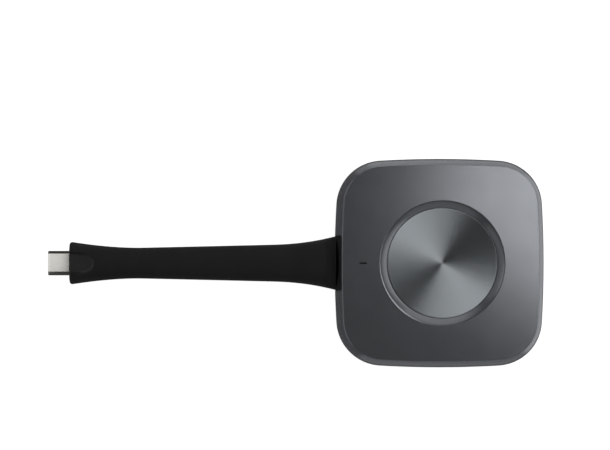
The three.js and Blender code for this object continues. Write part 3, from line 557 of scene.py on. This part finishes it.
def tail_height(tail, along):
    """Height of the tail's centre line at a distance from the puck, smoothly through its points."""
    last = len(TAIL_HEIGHTS) - 1
    place = min(max(along / tail.span, 0), 1) * last
    index = min(int(place), last - 1)
    share = place - index
    nearby = [min(max(index + step, 0), last) for step in (-1, 0, 1, 2)]
    before, start, end, after = (TAIL_HEIGHTS[point] for point in nearby)
    slope_in, slope_out = (end - before) / 2, (after - start) / 2
    square, cube = share ** 2, share ** 3
    return (
        start * (2 * cube - 3 * square + 1) + slope_in * (cube - 2 * square + share)
        + end * (3 * square - 2 * cube) + slope_out * (cube - square)
    )


def fade(distance, reach, power):
    """How much of a flare is left at a distance from its wide end."""
    return min(1, max(0, 1 - distance / reach)) ** power


def tail_size(tail, along):
    """Width and thickness of the tail at a distance from the puck."""
    root = fade(along, tail.root_reach, ROOT_CURVE)
    boot = fade(tail.span - along, tail.boot_reach, BOOT_CURVE)
    width = tail.width - tail.taper * along + tail.root_flare * root + tail.boot_flare * boot
    return width, tail.thickness + tail.root_thickness * root + tail.boot_thickness * boot


def soften(value, squareness):
    """One coordinate of a squared-off ellipse."""
    return math.copysign(abs(value) ** (2 / squareness), value)


def tail_ring(tail, along, inset=0.0, count=72):
    """One cross-section of the tail."""
    width, thickness = tail_size(tail, along)
    height = tail_height(tail, along)
    fillet = tail.root_fillet * fade(along, tail.fillet_reach, ROOT_CURVE)
    points = []
    for side in range(count):
        angle = 2 * math.pi * side / count
        upright = soften(math.cos(angle), tail.squareness)
        y = (width / 2 - inset) * soften(math.sin(angle), tail.squareness)
        z = height + (thickness / 2 - inset) * upright + fillet * max(0, upright)
        points.append((-COVER_HIGH.x - along, y, z))
    return points


def facet_share(tail, along, y):
    """1 inside the D-shaped flat on the boot and 0 outside it, with a narrow soft edge."""
    straight = tail.facet * 0.45
    half = tail.facet_width / 2
    behind = max(0, tail.span - straight - along) / (tail.facet - straight)
    radius = math.hypot(behind, y / half)
    soft_edge = 0.09
    return min(1, max(0, (1 - radius) / soft_edge + 0.5))


def press_facet(tail, mesh):
    """Cuts the level flat into the top of the flaring boot."""
    back = tail.span - tail.facet
    _, thickness = tail_size(tail, back)
    level = tail_height(tail, back) + thickness / 2 - tail.facet_depth
    for vertex in mesh.vertices:
        along = -COVER_HIGH.x - vertex.co.x
        share = facet_share(tail, along, vertex.co.y)
        if share > 0 and vertex.co.z > level:
            vertex.co.z += (level - vertex.co.z) * share


def mark_facet(tail, mesh):
    """Marks the flat for the finish: 1 on it and 0 elsewhere."""
    marks = mesh.attributes.new("facet", "FLOAT", "POINT")
    for index, vertex in enumerate(mesh.vertices):
        along = -COVER_HIGH.x - vertex.co.x
        above = vertex.co.z > tail_height(tail, along)
        marks.data[index].value = facet_share(tail, along, vertex.co.y) if above else 0


def tail_stations(tail):
    """Distances along the tail for its rings, closer together at both ends."""
    count, crowding = 150, 0.09
    for step in range(count + 1):
        share = step / count
        yield tail.span * (share - crowding * math.sin(2 * math.pi * share))


def build_tail(tail, finish):
    """The flat moulded tail, from its neck in the collar to the boot round the plug."""
    rings = []
    edge, into_collar, pocket_gap = 1 * MM, 0.3 * MM, 0.03 * MM
    start = -into_collar
    for along in tail_stations(tail):
        rings.append(tail_ring(tail, start + (tail.span - edge - start) * along / tail.span))
    steps = 6
    for step in range(1, steps + 1):
        angle = step / steps * math.pi / 2
        along = tail.span - edge + edge * math.sin(angle)
        rings.append(tail_ring(tail, along, edge * (1 - math.cos(angle))))
    piece = lofted("tail_moulding", rings, capped=True)
    press_facet(tail, piece.data)
    width = PLUG_HIGH.y - PLUG_LOW.y + 2 * pocket_gap
    height = PLUG_HIGH.z - PLUG_LOW.z + 2 * pocket_gap
    pocket = plug_slab("pocket", width, height, TAIL_LOW.x - 1 * MM, PLUG_HIGH.x + 0.2 * MM)
    combined(piece, pocket, "DIFFERENCE")
    neck = rounded_box(
        "neck", (-COVER_HIGH.x - NECK_EDGE, -NECK_HALF_WIDTH, TAIL_HEIGHTS[0] - NECK_HALF_HEIGHT),
        (TAIL_HIGH.x, NECK_HALF_WIDTH, TAIL_HEIGHTS[0] + NECK_HALF_HEIGHT), NECK_EDGE,
    )
    combined(piece, neck, "UNION")
    mark_facet(tail, piece.data)
    smooth(piece)
    return finished(piece, soft_rubber(finish))


def tail_path(tail):
    """The points of the tail's centre line."""
    steps = 60
    for step in range(steps + 1):
        along = tail.span * step / steps
        yield (-COVER_HIGH.x - along, 0.0, tail_height(tail, along))


# ------------------------------------------------------------------ plug shape

def slab_ring(x, width, thickness, count=24):
    """A ring round the plug: a slab with half-round edges, across X."""
    radius = thickness / 2
    flat = width / 2 - radius
    crisp = flat - 0.1 * MM
    middle = (PLUG_LOW.z + PLUG_HIGH.z) / 2
    points = []
    for side in (1, -1):
        points.append((x, side * crisp, middle - side * radius))
        for step in range(count + 1):
            angle = (step / count - 0.5) * math.pi
            y = side * (flat + radius * math.cos(angle))
            points.append((x, y, middle + side * radius * math.sin(angle)))
        points.append((x, side * crisp, middle + side * radius))
    return points


def plug_slab(name, width, thickness, x0, x1):
    """A solid slab with half-round edges between two places along X."""
    return lofted(name, [slab_ring(x, width, thickness) for x in (x0, x1)], capped=True)


def build_plug_shell(tail, finish):
    """The drawn steel shell, open at the tip with a rounded lip."""
    width, thickness = PLUG_HIGH.y - PLUG_LOW.y, PLUG_HIGH.z - PLUG_LOW.z
    wall, lip = tail.plug_wall, 0.12 * MM
    tip = PLUG_LOW.x
    profile = [(PLUG_HIGH.x, 0), (tip + 2.5 * MM, 0), (tip + 0.6 * MM, 0)]
    steps = 5
    for step in range(steps + 1):
        angle = step / steps * math.pi / 2
        profile.append((tip + lip * (1 - math.sin(angle)), lip * (1 - math.cos(angle))))
    for step in range(1, steps + 1):
        angle = step / steps * math.pi / 2
        profile.append((tip + lip * (1 - math.cos(angle)), wall - lip * (1 - math.sin(angle))))
    profile += [(tip + 0.6 * MM, wall), (PLUG_HIGH.x, wall)]
    rings = [slab_ring(x, width - 2 * inset, thickness - 2 * inset) for x, inset in profile]
    piece = lofted("plug_shell_drawn", rings, looped=True)
    smooth(piece, 40)
    return finished(piece, bright_steel(finish))


def build_plug_core():
    """The plastic core inside the shell, with its mouth."""
    width, thickness = CORE_HIGH.y - CORE_LOW.y, CORE_HIGH.z - CORE_LOW.z
    middle = (CORE_LOW.z + CORE_HIGH.z) / 2
    piece = plug_slab("plug_core", width, thickness, CORE_LOW.x, CORE_HIGH.x)
    half_width, half_height, depth = 3.3 * MM, 0.4 * MM, 5.9 * MM
    mouth = rounded_box(
        "mouth", (CORE_LOW.x - 1 * MM, -half_width, middle - half_height),
        (CORE_LOW.x + depth, half_width, middle + half_height), 0.1 * MM, 2,
    )
    combined(piece, mouth, "DIFFERENCE")
    smooth(piece, 40)
    return finished(piece, speckled("plug_plastic", (0.012, 0.012, 0.013), 0.4))


def build_plug_contacts():
    """Two rows of gold springs inside the mouth."""
    middle = (CORE_LOW.z + CORE_HIGH.z) / 2
    pitch, half_width, sheet = 0.5 * MM, 0.13 * MM, 0.06 * MM
    front, back = CORE_LOW.x + 1.4 * MM, CORE_LOW.x + 5.8 * MM
    profile = (
        (front, 0.33 * MM), (front + 0.5 * MM, 0.25 * MM), (front + 1.1 * MM, 0.33 * MM), (back, 0.36 * MM),
    )
    section = (
        (-half_width, -sheet / 2), (half_width, -sheet / 2), (half_width, sheet / 2),
        (-half_width, sheet / 2),
    )
    springs = 12
    shape = bmesh.new()
    for side in (1, -1):
        for index in range(springs):
            y = (index - (springs - 1) / 2) * pitch
            rows = []
            for x, lift in profile:
                z = middle + side * lift
                rows.append([shape.verts.new((x, y + dy, z + dz)) for dy, dz in section])
            for low, high in zip(rows, rows[1:]):
                for corner in range(4):
                    other = (corner + 1) % 4
                    shape.faces.new((low[corner], low[other], high[other], high[corner]))
            shape.faces.new(rows[0])
            shape.faces.new(rows[-1])
    bmesh.ops.recalc_face_normals(shape, faces=shape.faces)
    mesh = bpy.data.meshes.new("plug_contacts")
    shape.to_mesh(mesh)
    shape.free()
    piece = new_object("plug_contacts", mesh)
    return finished(piece, speckled("contact_gold", (0.85, 0.62, 0.26), 0.25, 1.0, size=0.1 * MM))


# ------------------------------------------------------------------ puck shapes

# The rounding of both shells at the seam, the gap round the collar, and how far the visible
# collar rises past the plain one in the frame
SEAM_EDGE = 0.15 * MM
COLLAR_GAP = 0.12 * MM
COLLAR_RISE = 0.35 * MM


def collar_window(puck, grown):
    """The block that the collar fills, or with a margin the opening that it fills."""
    low = (-puck.half - 1 * MM, COLLAR_LOW.y - grown, COLLAR_LOW.z - grown)
    high = (COLLAR_HIGH.x + grown, COLLAR_HIGH.y + grown, COLLAR_HIGH.z + COLLAR_RISE + grown)
    return rounded_box("window", low, high, 0.8 * MM + grown)


def dish_edge(puck):
    """The narrow bright chamfer at the dish's outer edge, as (radius, height) pairs."""
    steps = ((0.2, 0), (0.17, 0), (0.15, 0.003), (-0.12, 0.065), (-0.15, 0.078), (-0.2, 0.104))
    return [(puck.dish_radius + out * MM, puck.top - drop * MM) for out, drop in steps]


def bore_rings(puck, underside):
    """The foot of the dish, the bore and the lip under it, as (radius, height) pairs."""
    bore = puck.disc_radius + puck.clearance
    dish_bottom = puck.top - puck.dish_drop
    lip_bottom = CAP_LOW.z - 0.7 * MM
    lip, edge = 1.2 * MM, 0.1 * MM
    return (
        (bore + 0.02 * MM, dish_bottom + 0.01 * MM), (bore, dish_bottom - 0.01 * MM),
        (bore, lip_bottom + edge), (bore + edge, lip_bottom),
        (bore + lip - edge, lip_bottom), (bore + lip, lip_bottom + edge), (bore + lip, underside),
    )


def cover_profile(puck):
    """The rings round the cover's section: up the side, over the plate, down the bore, back inside."""
    low = puck.widest + puck.seam
    shoulder_top = puck.top - puck.bevel
    rings = [outline(puck, puck.wall, low), outline(puck, 2 * SEAM_EDGE, low)]
    rings += [outline(puck, 0.6 * SEAM_EDGE, low + 0.2 * SEAM_EDGE), outline(puck, 0.0, low + SEAM_EDGE)]
    for z in eased(low + 0.5 * MM, shoulder_top, 22):
        rings.append(outline(puck, upper_inset(puck, z), z))
    edge = 0.03 * MM
    plate_edge = puck.plate_inset + puck.bevel
    rings.append(outline(puck, puck.plate_inset + edge, shoulder_top + edge))
    rings.append(outline(puck, plate_edge - edge, puck.top - edge))
    rings.append(outline(puck, plate_edge, puck.top - 0.008 * MM))
    rings.append(outline(puck, plate_edge + edge, puck.top))
    rings.append(outline(puck, plate_edge + 2 * edge, puck.top))
    rings.append(outline(puck, puck.plate_inset + 1.2 * MM, puck.top))
    underside = puck.top - puck.wall
    angles = outline_angles(puck)
    for radius, z in (*dish_edge(puck), *bore_rings(puck, underside)):
        rings.append(circle(radius, z, angles, BUTTON_X))
    for z in reversed(list(eased(low + 0.3 * MM, underside, 8))):
        rings.append(outline(puck, puck.wall + upper_inset(puck, z), z))
    return rings


def build_cover(puck, finish):
    """The grey metal cover with its bevelled plate, sloping dish, indicator slit and collar opening."""
    piece = lofted("cover_shell", cover_profile(puck), looped=True)
    combined(piece, collar_window(puck, COLLAR_GAP), "DIFFERENCE")
    slit_x, half_length, half_width = -25.6 * MM, 1.2 * MM, 0.22 * MM
    slit = rounded_box(
        "slit", (slit_x - half_length, -half_width, puck.top - 3 * MM),
        (slit_x + half_length, half_width, puck.top + 1 * MM), 0.1 * MM, 2,
    )
    combined(piece, slit, "DIFFERENCE")
    smooth(piece, 30)
    return finished(piece, blasted_metal(finish))


def foot_outline(inset, z):
    """The foot pad's outline, drawn in by an inset."""
    return rounded_square(FOOT_HIGH.x, 9 * MM, 0.02 * MM, inset, z)


def small_middle(z):
    """A small ring in the middle, where a wide level face is closed."""
    return [(0.2 * x, 0.2 * y, z) for x, y, _ in foot_outline(0, 0)]


def shell_profile(puck):
    """The rings of the bottom shell: the recess over the foot, the outside, the rim and the floor."""
    high = puck.widest - puck.seam
    recess_top = FOOT_HIGH.z + 0.2 * MM
    foot_gap, floor_top = 0.15 * MM, 2.2 * MM
    rim_outside, rim_inside = 1.9 * MM, 2.7 * MM
    rings = [small_middle(recess_top)]
    rings.append(foot_outline(-foot_gap, recess_top))
    rings.append(foot_outline(-foot_gap, puck.underside + 0.1 * MM))
    rings.append(foot_outline(-foot_gap - 0.1 * MM, puck.underside))
    for z in eased(puck.underside, high - SEAM_EDGE, 20, late=False):
        rings.append(outline(puck, lower_inset(puck, z), z))
    section = (
        (0.6 * SEAM_EDGE, high - 0.2 * SEAM_EDGE), (2 * SEAM_EDGE, high), (rim_outside, high),
        (rim_outside, SHELL_HIGH.z), (rim_inside, SHELL_HIGH.z), (rim_inside, 5.6 * MM),
        (3.2 * MM, 3.2 * MM), (4.5 * MM, floor_top),
    )
    rings += [outline(puck, inset, z) for inset, z in section]
    rings.append(small_middle(floor_top))
    return rings


def build_shell(puck, finish):
    """The black bottom shell with the rim that closes the seam from inside."""
    piece = lofted("bottom_shell_moulding", shell_profile(puck), capped=True)
    combined(piece, collar_window(puck, COLLAR_GAP), "DIFFERENCE")
    smooth(piece, 30)
    return finished(piece, moulded_plastic(finish))


def build_foot(finish):
    """The rubber foot pad, with a shallow groove round its underside."""
    low, high, groove = 0.0, FOOT_HIGH.z, 0.12 * MM
    profile = (
        (0.0, high), (0.0, 0.25 * MM), (0.07 * MM, 0.07 * MM), (0.25 * MM, low), (1.6 * MM, low),
        (1.75 * MM, groove), (2.4 * MM, groove), (2.55 * MM, low), (8.8 * MM, low),
    )
    rings = [foot_outline(inset, z) for inset, z in profile]
    piece = lofted("foot_tread", rings, capped=True)
    smooth(piece, 40)
    return finished(piece, grippy_rubber(finish))


def build_collar(puck, finish):
    """The black block in the side wall, flush with both shells, with a rounded edge."""
    rings = []
    for z in eased(puck.underside, puck.widest, 12, late=False):
        rings.append(outline(puck, lower_inset(puck, z), z))
    for z in list(eased(puck.widest, puck.top - puck.bevel, 16))[1:]:
        rings.append(outline(puck, upper_inset(puck, z), z))
    piece = lofted("collar_block", rings, capped=True)
    combined(piece, collar_window(puck, 0.0), "INTERSECT")
    neck_gap = 0.1 * MM
    half_width, half_height = NECK_HALF_WIDTH + neck_gap, NECK_HALF_HEIGHT + neck_gap
    hole = rounded_box(
        "hole", (-puck.half - 2 * MM, -half_width, TAIL_HEIGHTS[0] - half_height),
        (COLLAR_HIGH.x + 1 * MM, half_width, TAIL_HEIGHTS[0] + half_height), NECK_EDGE,
    )
    combined(piece, hole, "DIFFERENCE")
    smooth(piece, 30)
    return finished(piece, moulded_plastic(finish))


def build_disc(puck, finish):
    """The button's spun disc, slightly dished, with a fine turned edge."""
    top, low = CAP_HIGH.z, CAP_LOW.z
    radius = puck.disc_radius
    edge, bowl, cone = 0.03 * MM, 0.41 * MM, 0.14 * MM
    profile = [(0.4 * MM, low), (radius - 0.2 * MM, low), (radius, low + 0.1 * MM)]
    steps = 4
    for step in range(steps + 1):
        angle = step / steps * math.pi / 2
        profile.append((radius - edge * (1 - math.cos(angle)), top - edge * (1 - math.sin(angle))))
    rim = radius - edge
    profile.append((rim - 0.02 * MM, top - 0.0005 * MM))
    turns = 40
    for step in range(1, turns):
        share = 1 - step / turns
        profile.append((rim * share, top - bowl * (1 - share ** 2) - cone * (1 - share)))
    piece = turned("button_disc", profile)
    piece.location.x = BUTTON_X
    smooth(piece, 40)
    return finished(piece, spun_metal(finish))


def build_pad():
    """The silicone ring that lifts the button: waisted, so that it can fold when it is pressed."""
    inner, outer = 13.5 * MM, PAD_HIGH.x - BUTTON_X
    low, high = PAD_LOW.z, PAD_HIGH.z
    round_edge, waist = 0.25 * MM, 0.4 * MM
    profile = (
        (inner + round_edge, low), (outer - round_edge, low), (outer, low + round_edge),
        (outer - waist, (low + high) / 2), (outer, high - round_edge), (outer - round_edge, high),
        (inner + round_edge, high), (inner, high - round_edge), (inner + waist, (low + high) / 2),
        (inner, low + round_edge),
    )
    count = 96
    angles = [2 * math.pi * side / count for side in range(count)]
    piece = lofted("return_ring", [circle(radius, z, angles) for radius, z in profile], looped=True)
    piece.location.x = BUTTON_X
    smooth(piece, 60)
    return finished(piece, speckled("return_silicone", **HIDDEN_FINISHES["silicone"]))


# ------------------------------------------------------------------ stage

def aim(piece, place, target):
    """Points an object's -Z at a target from a place."""
    piece.location = place
    direction = Vector(target) - Vector(place)
    piece.rotation_euler = direction.to_track_quat("-Z", "Y").to_euler()


def softbox(name, place, target, width, height, brightness):
    """A rectangular area light of a given brightness that the camera doesn't see."""
    data = bpy.data.lights.new(name, "AREA")
    data.shape = "RECTANGLE"
    data.size, data.size_y = width, height
    data.energy = brightness * math.pi * width * height
    light = bpy.data.objects.new(name, data)
    light.visible_camera = False
    bpy.context.scene.collection.objects.link(light)
    aim(light, place, target)
    return light


def build_top_lights(studio):
    """A large softbox above the puck's corner, and one above the plug, both facing down."""
    height = 0.366
    turn = math.radians(49.1)
    depth, width = 0.40, 0.147
    near_edge, aside = 0.0235, 0.0385
    outward = Vector((math.cos(turn), math.sin(turn), 0))
    across = Vector((-math.sin(turn), math.cos(turn), 0))
    middle = Vector((0.0354, 0, height)) + outward * (near_edge + depth / 2) - across * aside
    key = softbox("key_softbox", middle, middle - Vector((0, 0, 1)), depth, width, studio.key)
    key.rotation_euler = (0, 0, turn)
    place = Vector((-0.2615, 0.082, height))
    plug = softbox("plug_softbox", place, place - Vector((0, 0, 1)), 0.16, 0.18, studio.plug)
    plug.rotation_euler = (0, 0, 0)


def build_panels(studio):
    """Low panels round the puck, which its sides and bevels mirror."""
    out, tall = 0.17, 0.34
    panels = (
        ("right_panel", (out, 0, -0.03), (-1, 0), 2 * out, 0.28, studio.right),
        ("back_panel", (0.055, out, 0), (0, -1), 0.23, tall, studio.back),
        ("back_left_panel", (-0.0925, out, 0), (0, -1), 0.065, tall, studio.back / 2),
        ("front_panel", (0.035, -out, 0), (0, 1), 0.27, tall, studio.front),
        ("left_panel", (-out, 0, 0.16), (1, 0), 2 * out, 0.08, studio.left),
        ("left_strip", (-out, 0, 0.015), (1, 0), 2 * out, 0.03, 2 * studio.left),
    )
    for name, (x, y, z), (dx, dy), width, height, brightness in panels:
        softbox(name, (x, y, z), (x + dx, y + dy, z), width, height, brightness)


def build_camera(studio):
    """A camera that hangs straight above the object, with +Y up in the picture."""
    data = bpy.data.cameras.new("camera")
    data.sensor_width = 36
    data.lens = studio.lens
    data.shift_x, data.shift_y = studio.shift_x, studio.shift_y
    data.clip_start = 0.01
    camera = bpy.data.objects.new("camera", data)
    camera.location = (studio.camera_x, 0, studio.camera_height)
    bpy.context.scene.collection.objects.link(camera)
    bpy.context.scene.camera = camera


def build_floor(studio):
    """A wide pale floor."""
    width = 12
    bpy.ops.mesh.primitive_plane_add(size=width, location=(0, 0, 0))
    floor = bpy.context.active_object
    floor.name = "floor"
    surface = Surface("pale_floor", studio.floor, 0.9)
    surface.tint(surface.noise(0.5, detail=1), *shades(studio.floor, 0.01))
    surface.set("Emission Color", (1, 1, 1, 1))
    surface.set("Emission Strength", studio.floor_glow)
    finished(floor, surface.material)
    floor.visible_glossy = False
    floor.visible_shadow = False


def build_world(studio):
    """Faint even light from the room."""
    world = bpy.data.worlds.new("room")
    bpy.context.scene.world = world
    world.use_nodes = True
    background = world.node_tree.nodes["Background"]
    background.inputs["Color"].default_value = (1, 1, 1, 1)
    background.inputs["Strength"].default_value = studio.room


# ------------------------------------------------------------------ operators

class DongleOperator:
    """What every operator here shares: where it can run and its settings."""

    bl_options = {"REGISTER", "UNDO"}

    @classmethod
    def poll(cls, context):
        return context.scene is not None


class DONGLE_OT_stage(DongleOperator, bpy.types.Operator):
    """Set up the camera, the lights, the room and the floor"""

    bl_idname = "dongle.stage"
    bl_label = "Stage"

    def execute(self, context):
        studio = context.scene.dongle_studio
        context.scene.view_settings.view_transform = "Standard"
        build_camera(studio)
        build_floor(studio)
        build_world(studio)
        build_top_lights(studio)
        build_panels(studio)
        return {"FINISHED"}


class DONGLE_OT_tail(DongleOperator, bpy.types.Operator):
    bl_idname = "dongle.tail"
    bl_label = "Tail"

    def execute(self, context):
        tail, finish = context.scene.dongle_tail, context.scene.dongle_finish
        piece = build_tail(tail, finish)
        fitted(piece, "housing", "tail_rubber", "tail")
        shell = fitted(build_plug_shell(tail, finish), "housing", "plug_steel", "plug_shell")
        core = fitted(build_plug_core(), "housing", "plug_plastic", "plug_insulator")
        contacts = fitted(build_plug_contacts(), "housing", "plug_steel")
        list(tail_path(tail))
        return {"FINISHED"}


class DONGLE_OT_cover(DongleOperator, bpy.types.Operator):
    """Build the metal top cover"""

    bl_idname = "dongle.cover"
    bl_label = "Top cover"

    def execute(self, context):
        piece = build_cover(context.scene.dongle_puck, context.scene.dongle_finish)
        fitted(piece, "housing", "cover_metal", "top_cover")
        return {"FINISHED"}


class DONGLE_OT_base(DongleOperator, bpy.types.Operator):
    """Build the bottom shell, the collar and the foot pad"""

    bl_idname = "dongle.base"
    bl_label = "Bottom shell, collar and foot"

    def execute(self, context):
        puck, finish = context.scene.dongle_puck, context.scene.dongle_finish
        fitted(build_shell(puck, finish), "housing", "shell_plastic", "bottom_shell")
        fitted(build_collar(puck, finish), "housing", "shell_plastic", "tail_collar")
        fitted(build_foot(finish), "housing", "foot_rubber", "foot_pad")
        return {"FINISHED"}


class DONGLE_OT_button(DongleOperator, bpy.types.Operator):
    """Build the push button's metal disc and the ring that lifts it"""

    bl_idname = "dongle.button"
    bl_label = "Button"

    def execute(self, context):
        puck = context.scene.dongle_puck
        fitted(build_disc(puck, context.scene.dongle_finish), "button", "button_metal", "button_cap")
        pad = fitted(build_pad(), "housing", "silicone", "return_pad")
        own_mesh(pad)
        return {"FINISHED"}


class DONGLE_OT_inside(DongleOperator, bpy.types.Operator):
    """Give the pieces inside the puck and the plug their finishes"""

    bl_idname = "dongle.inside"
    bl_label = "Inside pieces"

    def execute(self, context):
        finish = context.scene.dongle_finish
        materials = {slot: speckled(slot, **facts) for slot, facts in HIDDEN_FINISHES.items()}
        materials["plug_steel"] = bright_steel(finish)
        slots = {row["node"]: row["material_slot"] for row in frame["record"]["subparts"]}
        for name, node in frame["nodes"].items():
            if not node.hide_render:
                finished(node, materials[slots[name]])
        return {"FINISHED"}


class DONGLE_PT_panel(bpy.types.Panel):
    """Lists the steps that build the dongle"""

    bl_idname = "DONGLE_PT_panel"
    bl_label = "Presentation Dongle"
    bl_space_type = "VIEW_3D"
    bl_region_type = "UI"
    bl_category = "Dongle"

    def draw(self, context):
        for operator in OPERATORS:
            self.layout.operator(operator.bl_idname)


GROUPS = {
    "dongle_puck": DONGLE_PG_puck,
    "dongle_tail": DONGLE_PG_tail,
    "dongle_finish": DONGLE_PG_finish,
    "dongle_studio": DONGLE_PG_studio,
}
OPERATORS = (
    DONGLE_OT_stage, DONGLE_OT_tail, DONGLE_OT_cover, DONGLE_OT_base, DONGLE_OT_button, DONGLE_OT_inside,
)


def register():
    """Registers the settings, the operators and the panel."""
    for name, group in GROUPS.items():
        bpy.utils.register_class(group)
        setattr(bpy.types.Scene, name, PointerProperty(type=group))
    for cls in (*OPERATORS, DONGLE_PT_panel):
        bpy.utils.register_class(cls)


def unregister():
    """Takes away what register added."""
    for cls in (DONGLE_PT_panel, *reversed(OPERATORS)):
        bpy.utils.unregister_class(cls)
    for name, group in reversed(list(GROUPS.items())):
        delattr(bpy.types.Scene, name)
        bpy.utils.unregister_class(group)


def main():
    """Builds everything in order."""
    register()
    for step in (
        bpy.ops.dongle.stage, bpy.ops.dongle.tail, bpy.ops.dongle.cover, bpy.ops.dongle.base,
        bpy.ops.dongle.button, bpy.ops.dongle.inside,
    ):
        step()


if __name__ == "__main__":
    main()
